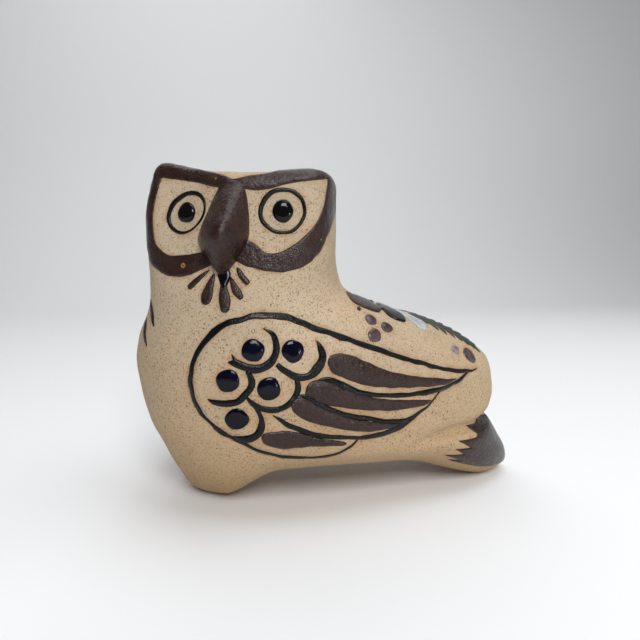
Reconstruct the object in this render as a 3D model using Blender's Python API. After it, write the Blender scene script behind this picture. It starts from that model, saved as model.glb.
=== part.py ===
"""Hand-painted stoneware owl with its head turned to its own left.

A hollow clay body pressed in two moulds, an applied clay beak, and raised slip
and glaze decoration, each brush stroke laid on the body as a piece of its own.
The breast faces -X, the tail +X, and the face looks towards -Y.
All dimensions below are in millimetres and are turned into metres at the end.
"""

from math import cos, pi, radians, sin, tan

import bmesh
import bpy
import numpy as np
from mathutils import Vector
from mathutils.bvhtree import BVHTree

MM = 0.001
PLAN_MIDDLE = (4.3, 0.0)       # middle of the whole footprint, moved to the origin

# Body stations: each pair is (height, value at that height).
BREAST_X = [(0, -39), (3, -42), (9, -45), (18, -49), (26, -52.5), (34, -54.5), (43, -55.5),
            (50, -54.5), (57, -52), (64, -50.5), (72, -50)]
BACK_X = [(0, 60.5), (2, 62.5), (5, 63.5), (9, 62.5), (14.5, 59.5), (20, 56), (22.5, 54),
          (25.5, 56), (30, 57), (36, 56.5), (40.5, 55), (44, 51.5), (47.5, 46.5), (50.5, 41),
          (53.5, 34), (55.8, 26.3), (58, 20.5), (60, 14.6), (62, 11), (64.5, 8), (67, 7), (72, 6)]
HALF_WIDTH = [(0, 10.5), (2, 14.5), (5, 19), (10, 24), (18, 28.5), (28, 31), (38, 31), (48, 30),
              (56, 29), (72, 28)]
CORE_X = [(0, -8), (10, -12), (30, -17), (50, -20), (64, -22), (72, -23)]
TAIL_BLUNTNESS = [(0, 3.2), (16, 3), (24, 2.4), (34, 2.3), (50, 2.1), (64, 2)]
NECK_LOW, NECK_HIGH = 55, 75    # heights between which the body becomes the head

# Underside: two flat pads with an arch between them.
ARCH_RISE = 8.5
FOOT_BACK, TAIL_FRONT = -33, 60
ARCH_SHOULDERS = (-14, 22)
FOOT_ZONE, FOOT_DROP = 14, 1.1   # the lowest zone is flattened, and all above it comes down

# Head, in plan about its own middle.
HEAD_TURN = radians(72)
HEAD_AT = (-23.5, -3.0)
HEAD_HALF_WIDTH, HEAD_HALF_DEPTH, HEAD_SQUARENESS = 27, 21, 3.2
FACE_FORWARD = 21.5
FACE_WEDGE = radians(11)
FACE_RIDGE = 2.5                # ridge of the face, to the viewer's right of the head middle
TOP, TOP_EDGE = 97, 4
EAR_RISE, EAR_TILT, EAR_TUCK = 3.2, -0.065, 3
CHEEK_TUCK = 1                  # the owl's right cheek lies a little further in

# Clay wall, seam, vent.
WALL = 4.5
CAVITY_LOW, CAVITY_HIGH, CAVITY_BACK = 12.5, 90, 42
SEAM = 0.3
VENT_AT, VENT_RADIUS = (-2, 0), 4

# Slip and glaze.
CONTACT_GAP = 0.3
GLAZE = 0.45
LINE = 0.65                     # half width of a brush line

CLAY = (0.55, 0.42, 0.28)
BROWN = (0.05, 0.025, 0.018)
BLACK = (0.012, 0.013, 0.015)
COBALT = (0.01, 0.012, 0.04)
PALE = (0.55, 0.56, 0.54)
GREEN = (0.04, 0.055, 0.045)

for old in list(bpy.data.objects):
    bpy.data.objects.remove(old, do_unlink=True)

owl = bpy.data.collections.new("stoneware_owl")
cutters = bpy.data.collections.new("cutters")
bpy.context.scene.collection.children.link(owl)
bpy.context.scene.collection.children.link(cutters)


# ---------------------------------------------------------------- curves

def station(table, height):
    """Value of a station table at a height, by a curve that never overshoots."""
    at, value = np.array(table, float).T
    gap = np.diff(at)
    slope = np.diff(value) / gap
    tangent = np.zeros_like(value)
    tangent[0], tangent[-1] = slope[0], slope[-1]
    for i in range(1, len(at) - 1):
        if slope[i - 1] * slope[i] > 0:
            tangent[i] = 2 * slope[i - 1] * slope[i] / (slope[i - 1] + slope[i])
    height = np.clip(height, at[0], at[-1])
    i = np.clip(np.searchsorted(at, height) - 1, 0, len(gap) - 1)
    s = (height - at[i]) / gap[i]
    start = (1 + 2 * s) * (1 - s) ** 2 * value[i] + s * (1 - s) ** 2 * gap[i] * tangent[i]
    end = s * s * (3 - 2 * s) * value[i + 1] + s * s * (s - 1) * gap[i] * tangent[i + 1]
    return start + end


def ease(x, low, high):
    s = np.clip((x - low) / (high - low), 0, 1)
    return s * s * (3 - 2 * s)


def soft_min(a, b, blend):
    h = np.clip(0.5 + 0.5 * (b - a) / blend, 0, 1)
    return b + (a - b) * h - blend * h * (1 - h)


# ---------------------------------------------------------------- body surface

def arch(x):
    rise = ease(x, FOOT_BACK, ARCH_SHOULDERS[0]) * (1 - ease(x, ARCH_SHOULDERS[1], TAIL_FRONT))
    return np.maximum(0, (ARCH_RISE + 0.6) * rise - 0.6)


def body_ring(angle, height):
    breast, back = station(BREAST_X, height), station(BACK_X, height)
    core, half = station(CORE_X, height), station(HALF_WIDTH, height)
    c, s = np.cos(angle), np.sin(angle)
    blunt = np.where(c > 0, station(TAIL_BLUNTNESS, height), 2.0)
    reach = np.where(c > 0, back - core, core - breast)
    x = core + reach * np.sign(c) * np.abs(c) ** (2 / blunt)
    y = half * np.sign(s) * np.abs(s) ** (2 / 2.15)
    return x, y


def head_ring(angle, height):
    """Head outline in plan, and how far each point lies across the face."""
    turn = angle - (HEAD_TURN - pi)
    along, across = np.cos(turn), np.sin(turn)
    side = (np.abs(along / HEAD_HALF_DEPTH) ** HEAD_SQUARENESS
            + np.abs(across / HEAD_HALF_WIDTH) ** HEAD_SQUARENESS) ** (-1 / HEAD_SQUARENESS)
    forward = FACE_FORWARD - 2 * ease(height, 78, TOP) + 3 * (1 - ease(height, 58, 80))
    reach = side
    for way in (-1, 1):
        lean = np.cos(turn - way * FACE_WEDGE)
        plane = way * sin(FACE_WEDGE) * FACE_RIDGE + cos(FACE_WEDGE) * forward
        flat = np.where(lean > 0.15, plane / np.maximum(lean, 0.15), 1000)
        reach = soft_min(flat, reach, 3 if way > 0 else 2)
    u = reach * across
    x = HEAD_AT[0] + reach * np.cos(angle)
    tuck = EAR_TUCK * ease(height, 82, TOP) + CHEEK_TUCK * ease(height, 60, 70)
    x = x + tuck * np.clip((HEAD_AT[0] - x) / HEAD_HALF_WIDTH, 0, 1)
    return x, HEAD_AT[1] + reach * np.sin(angle), u


def ring(angle, height, shrink=1.0):
    """One closed ring of the outside surface."""
    bx, by = body_ring(angle, min(height, 72))
    hx, hy, u = head_ring(angle, height)
    h = ease(height, NECK_LOW, NECK_HIGH)
    middle_x = station(CORE_X, min(height, 72)) * (1 - h) + HEAD_AT[0] * h
    middle_y = HEAD_AT[1] * h
    x = middle_x + (bx + (hx - bx) * h - middle_x) * shrink
    y = middle_y + (by + (hy - by) * h - middle_y) * shrink
    z = height + arch(x) * (1 - ease(height, 0, 24))
    rise = EAR_RISE * ((u * shrink / HEAD_HALF_WIDTH) ** 2 - 0.5) + EAR_TILT * u * shrink
    z = z + rise * ease(height, 70, TOP)
    return np.stack([x, y, z + 0 * x], -1)


def capped_loft(rings):
    """Vertices and faces of a closed skin over a stack of equal rings."""
    count = len(rings[0])
    points = np.vstack(rings + [rings[0].mean(0)[None], rings[-1].mean(0)[None]])
    faces = []
    for i in range(len(rings) - 1):
        for j in range(count):
            k = (j + 1) % count
            faces.append((i * count + j, i * count + k, (i + 1) * count + k, (i + 1) * count + j))
    low, high, last = len(points) - 2, len(points) - 1, (len(rings) - 1) * count
    for j in range(count):
        k = (j + 1) % count
        faces.append((low, k, j))
        faces.append((high, last + j, last + k))
    return points, faces


def outside_skin(columns=48):
    angle = np.arange(columns) * 2 * pi / columns
    rings = [ring(angle, 0, shrink) for shrink in (0.3, 0.5, 0.7, 0.85, 0.92)]
    heights = list(np.arange(0, 66, 3)) + list(np.arange(66, TOP - TOP_EDGE, 5))
    rings += [ring(angle, height) for height in heights]
    for a in np.linspace(0, pi / 2, 4):
        shrink = 1 - TOP_EDGE / 25 * (1 - cos(a))
        rings.append(ring(angle, TOP - TOP_EDGE + TOP_EDGE * sin(a), shrink))
    rings += [ring(angle, TOP, shrink) for shrink in (0.6, 0.3)]
    return capped_loft(rings)


def inset(points, distance):
    """A plan outline moved inwards by a distance."""
    along = np.roll(points, -1, 0) - np.roll(points, 1, 0)
    normal = np.stack([along[:, 1], -along[:, 0]], -1)
    normal /= np.linalg.norm(normal, axis=1)[:, None]
    moved = points.copy()
    moved[:, :2] -= normal * distance
    return moved


def cavity_skin(columns=24):
    """Inside of the clay wall; the tail behind CAVITY_BACK stays solid."""
    angle = np.arange(columns) * 2 * pi / columns
    rings = []
    for height in np.linspace(CAVITY_LOW, CAVITY_HIGH, 16):
        wall = inset(ring(angle, height), WALL)
        above = ring(angle, height + WALL)
        under_slope = np.where(wall[:, 0] > 0, np.minimum(wall[:, 0], above[:, 0]), wall[:, 0])
        wall[:, 0] = np.minimum(under_slope, CAVITY_BACK)
        rings.append(wall)
    middle = rings[0].mean(0)
    floor = middle + (rings[0] - middle) * 0.7
    floor[:, 2] -= 1
    middle = rings[-1].mean(0)
    roof = middle + (rings[-1] - middle) * 0.8
    roof[:, 2] += 1.5
    return capped_loft([floor] + rings + [roof])


# ---------------------------------------------------------------- objects

def material(name, colour, rough):
    made = bpy.data.materials.new(name)
    made.use_nodes = True
    surface = made.node_tree.nodes["Principled BSDF"]
    surface.inputs["Base Color"].default_value = (*colour, 1)
    surface.inputs["Roughness"].default_value = rough
    made.diffuse_color = (*colour, 1)
    return made


def mesh_of(name, points, faces, scale=MM, shift=(0, 0)):
    mesh = bpy.data.meshes.new(name)
    moved = np.array(points, float) - (shift[0], shift[1], 0)
    if shift == PLAN_MIDDLE:
        moved[:, 2] -= FOOT_DROP * np.clip(moved[:, 2] / FOOT_ZONE, 0, 1)
    mesh.from_pydata([tuple(p) for p in moved * scale], [], faces)
    shape = bmesh.new()
    shape.from_mesh(mesh)
    bmesh.ops.recalc_face_normals(shape, faces=shape.faces)
    shape.to_mesh(mesh)
    shape.free()
    return mesh


def piece(name, mesh, colour, rough):
    """A finished, named piece of the owl."""
    made = bpy.data.objects.new(name, mesh)
    mesh.materials.append(material(name + "_surface", colour, rough))
    mesh.shade_smooth()
    mesh.set_sharp_from_angle(angle=radians(40))
    owl.objects.link(made)
    return made


def cutter(name, mesh):
    made = bpy.data.objects.new(name, mesh)
    made.hide_render = True
    made.display_type = "WIRE"
    cutters.objects.link(made)
    return made


def box_mesh(name, low, high):
    corners = [(x, y, z) for z in (low[2], high[2]) for y in (low[1], high[1])
               for x in (low[0], high[0])]
    faces = [(0, 2, 3, 1), (4, 5, 7, 6), (0, 1, 5, 4), (2, 6, 7, 3), (0, 4, 6, 2), (1, 3, 7, 5)]
    return mesh_of(name, corners, faces, MM, PLAN_MIDDLE)


def boolean(target, operation, tool):
    step = target.modifiers.new(tool.name, "BOOLEAN")
    step.operation = operation
    step.solver = "EXACT"
    step.object = tool


# ---------------------------------------------------------------- laying glaze on the body

skin_points, skin_faces = outside_skin()
skin = BVHTree.FromPolygons([Vector(p) for p in skin_points], skin_faces)
FAR = 200


def flat_press(origin, across, up, inward):
    """A flat drawing plane whose strokes are pressed straight on to the body."""
    origin, across, up, inward = map(Vector, (origin, across, up, inward))

    def aim(a, b):
        return origin + across * a + up * b - inward * FAR, inward
    return aim


def round_press(axis_x, radius):
    """A drawing wrapped round an upright axis; distances run along the radius."""
    def aim(a, b):
        out = Vector((cos(a / radius), sin(a / radius), 0))
        return Vector((axis_x, 0, b)) + out * FAR, -out
    return aim


def wrapped_press(origin, across, up, inward, limits, depth, lean, radius):
    """A flat drawing plane whose margins fold round the two sides and the top."""
    origin, across, up, inward = map(Vector, (origin, across, up, inward))
    left, right, high = limits

    def aim(a, b):
        flat_a, flat_b = min(max(a, left), right), min(b, high)
        turn, rise = (a - flat_a) / radius, (b - flat_b) / radius
        pivot = origin + across * flat_a + up * flat_b
        pivot -= inward * (depth - abs(flat_a) * lean - radius)
        out = (across * sin(turn) - inward * cos(turn)) * cos(rise) + up * sin(rise)
        return pivot + out * FAR, -out
    return aim


def landing(press, a, b):
    """Where a drawn point lands on the clay, and the way out of the clay there."""
    hits = []
    for da, db in ((0, 0), (0.8, 0), (0, 0.8), (-0.8, 0), (0, -0.8)):
        start, way = press(a + da, b + db)
        hits.append(skin.ray_cast(start, way)[0])
    here, right, up, left, down = hits
    right, up = right or here, up or here
    left, down = left or here, down or here
    out = (right - left).cross(up - down).normalized()
    if out.dot(way) > 0:
        out = -out
    return here, out


def smooth(knots, step, closed=False):
    """Points along an even curve through the knots, about one per step."""
    knots = np.array(knots, float)
    if closed:
        before, after = np.roll(knots, 1, 0), np.roll(knots, -1, 0)
        spans = len(knots)
    else:
        before = np.vstack([2 * knots[0] - knots[1], knots[:-1]])
        after = np.vstack([knots[1:], 2 * knots[-1] - knots[-2]])
        spans = len(knots) - 1
    tangent = (after - before) / 2
    points = []
    for i in range(spans):
        j = (i + 1) % len(knots)
        length = np.linalg.norm((knots[j] - knots[i])[:2])
        for s in np.arange(0, 1, 1 / max(1, round(length / step))):
            points.append((1 + 2 * s) * (1 - s) ** 2 * knots[i] + s * (1 - s) ** 2 * tangent[i]
                          + s * s * (3 - 2 * s) * knots[j] + s * s * (s - 1) * tangent[j])
    if not closed:
        points.append(knots[-1])
    return np.array(points)


def edges_of(line, closed=False):
    """Left and right edges of a line given as (a, b, half width) rows."""
    if closed:
        along = np.roll(line, -1, 0) - np.roll(line, 1, 0)
    else:
        along = np.gradient(line, axis=0)
    side = np.stack([-along[:, 1], along[:, 0]], -1)
    side /= np.linalg.norm(side, axis=1)[:, None]
    return line[:, :2] + side * line[:, 2:], line[:, :2] - side * line[:, 2:]


def strip(left, right, columns=2, heights=GLAZE, closed=False):
    """A flat-bottomed strip between two edges, as (a, b, height) points and faces."""
    rows = len(left)
    share = np.linspace(0, 1, columns)[None, :, None]
    plan = (left[:, None] * (1 - share) + right[:, None] * share).reshape(-1, 2)
    top = np.broadcast_to(np.asarray(heights, float), (rows, columns)).reshape(-1)
    points = np.vstack([np.column_stack([plan, 0 * top]), np.column_stack([plan, top])])
    lift = rows * columns
    faces = []
    for i in range(rows if closed else rows - 1):
        k = (i + 1) % rows
        for j in range(columns - 1):
            quad = (i * columns + j, i * columns + j + 1, k * columns + j + 1, k * columns + j)
            faces += [quad[::-1], tuple(v + lift for v in quad)]
        for j in (0, columns - 1):
            a, b = i * columns + j, k * columns + j
            faces.append((a, b, b + lift, a + lift))
    if not closed:
        for i in (0, rows - 1):
            for j in range(columns - 1):
                a = i * columns + j
                faces.append((a, a + 1, a + 1 + lift, a + lift))
    return points, faces


def line_stroke(knots, half_width=LINE, step=3.0, closed=False):
    """A plain brush line; a knot may carry its own half width as a third number."""
    rows = [k if len(k) == 3 else (*k, half_width) for k in knots]
    path = smooth(rows, step, closed)
    return strip(*edges_of(path, closed), closed=closed)


def full_stroke(knots, step=2.2):
    """A loaded stroke, fuller along its middle."""
    path = smooth(knots, step)
    path[:, 2] = np.maximum(path[:, 2], 0.25)
    left, right = edges_of(path)
    middle = GLAZE + 0.06 * path[:, 2]
    edge = np.full_like(middle, 0.3)
    return strip(left, right, 3, np.stack([edge, middle, edge], -1))


def dome(centre, radii, height, tilt=0.0, columns=14):
    """A drop of glaze, round or oval."""
    turn = np.arange(columns) * 2 * pi / columns
    c, s = cos(tilt), sin(tilt)
    points, rows = [], (0.55, 1.0)
    tops = (height * 0.88, 0.25)
    for base in (True, False):
        for share, top in zip(rows, tops):
            x, y = radii[0] * share * np.cos(turn), radii[1] * share * np.sin(turn)
            for a, b in zip(centre[0] + x * c - y * s, centre[1] + x * s + y * c):
                points.append((a, b, 0 if base else top))
        points.append((*centre, 0 if base else height))
    half = 2 * columns + 1
    faces = []
    for j in range(columns):
        k = (j + 1) % columns
        faces += [(2 * columns, k, j), (half + 2 * columns, half + j, half + k)]
        faces.append((j, k, columns + k, columns + j))
        faces.append((half + k, half + j, half + columns + j, half + columns + k))
        faces.append((columns + j, columns + k, half + columns + k, half + columns + j))
    return np.array(points), faces


def joined(strokes, name):
    """Flat strokes that cross each other, run into one."""
    parts = [bpy.data.objects.new(name, mesh_of(name, p, f, 1)) for p, f in strokes]
    for part in parts:
        cutters.objects.link(part)
    for other in parts[1:]:
        boolean(parts[0], "UNION", other)
    graph = bpy.context.evaluated_depsgraph_get()
    mesh = bpy.data.meshes.new_from_object(parts[0].evaluated_get(graph))
    shape = bmesh.new()
    shape.from_mesh(mesh)
    bmesh.ops.remove_doubles(shape, verts=shape.verts, dist=0.0001)
    bmesh.ops.triangulate(shape, faces=shape.faces)
    points = np.array([v.co[:] for v in shape.verts])
    faces = [tuple(v.index for v in f.verts) for f in shape.faces]
    shape.free()
    for part in parts:
        bpy.data.objects.remove(part, do_unlink=True)
    return points, faces


def lay(name, press, strokes, colour, rough=0.35, gap=CONTACT_GAP):
    """Press flat strokes on to the body as one raised deposit."""
    points, faces = strokes[0] if len(strokes) == 1 else joined(strokes, name)
    laid = []
    for a, b, height in points:
        here, out = landing(press, a, b)
        laid.append(here + out * (gap + height))
    return piece(name, mesh_of(name, laid, faces, MM, PLAN_MIDDLE), colour, rough)


# ---------------------------------------------------------------- two clay shells

outside = mesh_of("outside_skin", skin_points, skin_faces, MM, PLAN_MIDDLE)
cavity = cutter("cavity", mesh_of("cavity", *cavity_skin(), MM, PLAN_MIDDLE))

vent_shape = bmesh.new()
bmesh.ops.create_cone(vent_shape, cap_ends=True, segments=24, radius1=VENT_RADIUS * MM,
                      radius2=VENT_RADIUS * MM, depth=20 * MM)
vent_middle = (VENT_AT[0] - PLAN_MIDDLE[0], VENT_AT[1] - PLAN_MIDDLE[1], 9)
bmesh.ops.translate(vent_shape, verts=vent_shape.verts, vec=Vector(vent_middle) * MM)
vent_mesh = bpy.data.meshes.new("vent")
vent_shape.to_mesh(vent_mesh)
vent_shape.free()
vent = cutter("vent", vent_mesh)

halves = {
    "shell_left": box_mesh("left_half", (-80, -60, -10), (80, -SEAM / 2, 120)),
    "shell_right": box_mesh("right_half", (-80, SEAM / 2, -10), (80, 60, 120)),
}
for name, half in halves.items():
    shell = piece(name, outside.copy(), CLAY, 0.75)
    boolean(shell, "DIFFERENCE", cavity)
    boolean(shell, "DIFFERENCE", vent)
    boolean(shell, "INTERSECT", cutter(name + "_side", half))

# ---------------------------------------------------------------- face

face_across = (sin(HEAD_TURN), -cos(HEAD_TURN), 0)
face_origin = (HEAD_AT[0] + FACE_RIDGE * face_across[0],
               HEAD_AT[1] + FACE_RIDGE * face_across[1], 0)
face = flat_press(face_origin, face_across, (0, 0, 1), (cos(HEAD_TURN), sin(HEAD_TURN), 0))

# Beak sections from brow to tip: height up the face, left and right edge, crest, depth.
BEAK = [(90.2, -3.7, 3.4, 0, 1.2), (88, -5, 4, 0, 3), (84, -6.8, 4.4, 0, 6),
        (80, -8.6, 4.5, -0.3, 8.6), (77.5, -9.2, 4.2, -0.5, 9), (74.5, -8.2, 2.9, -0.8, 7.2),
        (71.5, -5.8, 1, -1.4, 4.2), (69.2, -3.6, -0.8, -2.1, 1.6)]
beak_share = np.array([-1, -0.8, -0.5, -0.2, 0.2, 0.5, 0.8, 1])
beak_rows = smooth([(0, row[0], *row[1:]) for row in BEAK], 2.2)
beak_plan, beak_depth = [], []
for _, height, left, right, crest, depth in beak_rows:
    reach = np.where(beak_share < 0, crest - left, right - crest)
    beak_plan.append([(crest + r * s, height) for r, s in zip(reach, beak_share)])
    beak_depth.append(0.4 + depth * (1 - np.abs(beak_share) ** 1.7))
beak_plan, beak_depth = np.array(beak_plan), np.array(beak_depth)
beak_points, beak_faces = strip(beak_plan[:, 0], beak_plan[:, -1], len(beak_share), beak_depth)
flat_beak = beak_plan.reshape(-1, 2)
beak_points[:, :2] = np.vstack([flat_beak, flat_beak])
beak_laid = []
for a, b, height in beak_points:
    here, out = landing(face, a, b)
    forward = Vector((-cos(HEAD_TURN), -sin(HEAD_TURN), 0))
    beak_laid.append(here + out * CONTACT_GAP + forward * height)
piece("beak", mesh_of("beak", beak_laid, beak_faces, MM, PLAN_MIDDLE), BROWN, 0.4)

# Brown mask: one C-shaped band round each eye, from the brow to the foot of the beak.
# Its outer edge folds over the ears and round the sides of the head.
MASK_LIMITS = (-22, 19.5, 92.5)
MASK_DEPTH, MASK_FOLD, MASK_GAP = 20, 5, 0.65
folded_face = wrapped_press(face_origin, face_across, (0, 0, 1),
                            (cos(HEAD_TURN), sin(HEAD_TURN), 0), MASK_LIMITS, MASK_DEPTH,
                            tan(FACE_WEDGE), MASK_FOLD)
RIGHT_MASK = (
    [(-0.2, 93.5), (-2.5, 94.9), (-6.5, 96.8), (-13, 99.9), (-19.5, 100.3), (-26, 99), (-29, 95),
     (-29.5, 89), (-29.3, 83.5), (-28.3, 78), (-26, 73), (-22.4, 69.7), (-18.8, 68.2),
     (-14.9, 67.8), (-11.4, 68.3), (-8.4, 69.5), (-6, 70.5)],
    [(-0.2, 91.2), (-4.3, 91), (-9.6, 92.4), (-15.6, 94), (-19, 94.7), (-21.2, 95.1),
     (-21.8, 93.2), (-22.9, 89), (-23.4, 84.5), (-23.1, 79.9), (-22.3, 76.5), (-20.6, 74.7),
     (-18, 73.4), (-14.9, 73.4), (-12.2, 73.6), (-10.4, 73.9), (-9.2, 74.1)],
)
LEFT_MASK = (
    [(0.2, 93.5), (3.2, 94.3), (6.5, 95), (9.7, 96.2), (13, 99.2), (18, 100.2), (23.5, 100.2),
     (30.2, 98.8), (33.2, 95), (33.3, 89), (32.8, 85.3), (31.2, 81.5), (28, 77.4), (24.6, 74.7),
     (21.2, 72.6), (18, 70.2), (14.2, 69.1), (10.5, 69.1), (7.6, 69.5), (5.2, 70.2), (3.1, 71)],
    [(0.2, 91.2), (3.9, 90.6), (6.5, 90.1), (10, 90.6), (13.3, 91.6), (17.5, 92.4), (22, 93.1),
     (28.3, 94), (28.9, 93.2), (28.2, 90.4), (26.8, 86.9), (24.5, 84.3), (21.6, 81.5),
     (19.3, 79.1), (17.1, 77), (14.5, 75.2), (12.2, 74.1), (9.8, 73.9), (8.2, 74.5), (6.8, 75.8),
     (5.4, 76.7)],
)
for name, (outer, inner) in (("mask_right", RIGHT_MASK), ("mask_left", LEFT_MASK)):
    both = smooth([(*a, *b) for a, b in zip(outer, inner)], 2)
    fill = [0.35, 0.45, 0.55, 0.6, 0.55, 0.45, 0.35]
    lay(name, folded_face, [strip(both[:, :2], both[:, 2:], len(fill), fill)], BROWN, 0.35,
        MASK_GAP)

# Eyes: centre, ring radii, ring lean, pupil radius.
EYES = {
    "right": ((-13.1, 84.7), (5.9, 4.7), radians(42), 2.65),
    "left": ((13, 84.8), (5.6, 5.6), 0, 2.8),
}
for side, (centre, radii, lean, pupil) in EYES.items():
    turn = np.arange(20) * 2 * pi / 20
    x, y = radii[0] * np.cos(turn), radii[1] * np.sin(turn)
    around = np.column_stack([centre[0] + x * cos(lean) - y * sin(lean),
                              centre[1] + x * sin(lean) + y * cos(lean), 0.6 + 0 * turn])
    lay("eye_ring_" + side, face, [strip(*edges_of(around, True), closed=True)], BLACK, 0.15)
    lay("pupil_" + side, face, [dome(centre, (pupil, pupil), 1.1)], BLACK, 0.08)

lay("chin_drop", face, [full_stroke([(-1.9, 68.4, 1.6), (-1.7, 67, 1.35), (-1.6, 65.6, 0.9)])],
    COBALT, 0.2)

# Throat strokes below the beak, each from its thin start to its round end.
THROAT = {
    "throat_stroke_1": [(-5.9, 69.5, 0.25), (-7.8, 68, 0.65), (-9.5, 66.5, 0.85),
                        (-11, 65.1, 0.85), (-11.8, 64.4, 0.4)],
    "throat_stroke_2": [(-4.4, 68.4, 0.25), (-5.1, 66.2, 0.9), (-5.9, 63.4, 1.4),
                        (-6.2, 61.4, 1.3), (-6.4, 60.3, 0.5)],
    "throat_stroke_3": [(-1.6, 65, 0.9), (-1.3, 63.6, 1.4), (-1, 61.2, 1.4), (-0.8, 59.3, 1.2),
                        (-0.75, 58.4, 0.5)],
    "throat_stroke_4": [(0.2, 67.4, 0.25), (1, 65.6, 0.8), (2, 63.8, 1), (3, 62.4, 0.9),
                        (3.5, 61.7, 0.4)],
    "throat_stroke_5": [(1.7, 70, 0.25), (2.6, 68.4, 0.8), (3.6, 67, 0.9), (4.5, 65.9, 0.8),
                        (4.9, 65.4, 0.35)],
}
for name, knots in THROAT.items():
    lay(name, face, [full_stroke(knots)], BROWN)

# ---------------------------------------------------------------- wings

WING_OUTLINE = [
    (41.2, 39.2, 0.5), (30.7, 41.3, 0.55), (24.1, 43.5, 0.63), (16, 46.1, 0.66), (8.4, 49, 0.7),
    (1.1, 51.7, 0.73), (-8.2, 55.2, 0.74), (-12.8, 57.1, 0.74), (-17.3, 58, 0.78),
    (-21.7, 57.9, 0.77), (-29.1, 56.1, 0.73), (-34.9, 51.2, 0.73), (-38.4, 43.7, 0.62),
    (-37.9, 36, 0.56), (-33.8, 30.2, 0.56), (-28.4, 26.4, 0.56), (-21.3, 22.3, 0.5),
    (-12.2, 19.8, 0.5), (-3.7, 19.3, 0.47), (3.3, 22.1, 0.42), (6.6, 24.4, 0.7),
    (10.5, 24.8, 0.94), (14.6, 25.6, 0.99), (18.2, 27.2, 1), (23, 29.6, 0.6), (29.2, 34, 0.4),
    (32, 35.6, 0.5), (37, 36.8, 0.6),
]
WING_QUILLS = [
    [(32, 35.6, 0.5), (26.3, 35.5, 0.73), (20.8, 35.3, 0.67), (15.5, 35.4, 0.66),
     (10.4, 36, 0.7), (5.4, 37.2, 0.78), (1.1, 38.9, 0.87), (-1.2, 40.2, 0.82),
     (-3.1, 41.2, 0.63), (-5.5, 41.1, 0.32)],
    [(20, 28.2, 0.7), (15.5, 28.3, 0.66), (10.4, 29.1, 0.65), (5.4, 30.4, 0.74),
     (0.6, 31.7, 0.78), (-3.1, 33.1, 0.82), (-6.4, 35, 0.81), (-8.7, 36.7, 0.58),
     (-9.8, 37.1, 0.35)],
    [(5.4, 24.2, 0.5), (3.1, 24.9, 0.6), (-1.2, 25.5, 0.6), (-5.5, 26.2, 0.64),
     (-9.6, 27.5, 0.68), (-13.3, 29.1, 0.67), (-16, 31, 0.49), (-17.9, 32.4, 0.25)],
]
COVERTS = [
    [(-19.9, 55, 0.25), (-18, 53.6, 0.58), (-16.9, 51.3, 0.84), (-16.8, 48.7, 0.93),
     (-18, 46.5, 1.02), (-20, 45.1, 1.1), (-22.8, 44.7, 1.15), (-25.4, 45.5, 1.1),
     (-27.4, 46.3, 0.97), (-28.7, 46.6, 0.44)],
    [(-6.1, 51.3, 0.25), (-5.1, 49.5, 0.77), (-4.8, 47.3, 1.09), (-5.8, 44.7, 1.22),
     (-7.7, 42.8, 1.17), (-10.2, 42, 1.07), (-12.7, 42.6, 0.85), (-14.9, 44.2, 0.76),
     (-16.9, 46, 0.67)],
    [(-24.2, 44.4, 0.66), (-23.3, 41.8, 0.84), (-23.7, 39.6, 0.93), (-25.1, 37.8, 0.93),
     (-27.3, 36.2, 0.88), (-30.4, 35.9, 0.84), (-33, 36.3, 0.53), (-34.2, 36.8, 0.25)],
    [(-11.5, 41.6, 0.67), (-11.5, 38.7, 0.74), (-12.6, 36.5, 0.76), (-14.6, 34.7, 0.8),
     (-17.7, 33.8, 0.8), (-20.4, 34.3, 0.75), (-23, 35.8, 0.66), (-24.5, 37.4, 0.44)],
    [(-22.6, 35.3, 0.45), (-21.5, 33.4, 0.62), (-20.9, 31.8, 0.76), (-20.9, 29.5, 0.98),
     (-22, 27.5, 1.05), (-24, 26.5, 0.85), (-25.6, 26.7, 0.3)],
]
WING_DOTS = [((-22.7, 49.4), 2.95), ((-12.5, 48.9), 2.9), ((-29.2, 41.7), 3),
             ((-18.9, 39.5), 3.05), ((-27.1, 31.6), 3)]
FEATHERS = [
    [(-3, 46.1, 0.5), (-1.6, 45.7, 2.3), (0.8, 44.6, 3), (4.6, 43.1, 3.2), (9.5, 41.2, 2.7),
     (15.5, 39.7, 2), (21.9, 38.7, 1.5), (30.4, 38.1, 0.8), (34.3, 38.2, 0.3)],
    [(-8.6, 39.1, 0.5), (-7, 38.7, 1.9), (-4.1, 37.5, 2.3), (1.1, 35.6, 2.1), (4.5, 34.6, 1.8),
     (9.4, 33.6, 1.6), (15.5, 33, 1.4), (21, 32.8, 0.9), (24.5, 32.9, 0.3)],
    [(-11.6, 34.3, 0.5), (-10.3, 33.9, 1.5), (-7.8, 32.4, 1.9), (-4.1, 30.3, 1.65),
     (0.6, 29.1, 1.5), (5.5, 27.9, 1.3), (10.4, 27.1, 0.8), (12.8, 27, 0.3)],
    [(-19.9, 26.3, 0.5), (-18.6, 26, 1.8), (-15.5, 25.5, 2.3), (-11.4, 24.9, 2),
     (-7.3, 24.3, 1.3), (-4, 24, 0.85), (-1.1, 23.6, 0.65), (1.3, 23.4, 0.3)],
]
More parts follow.
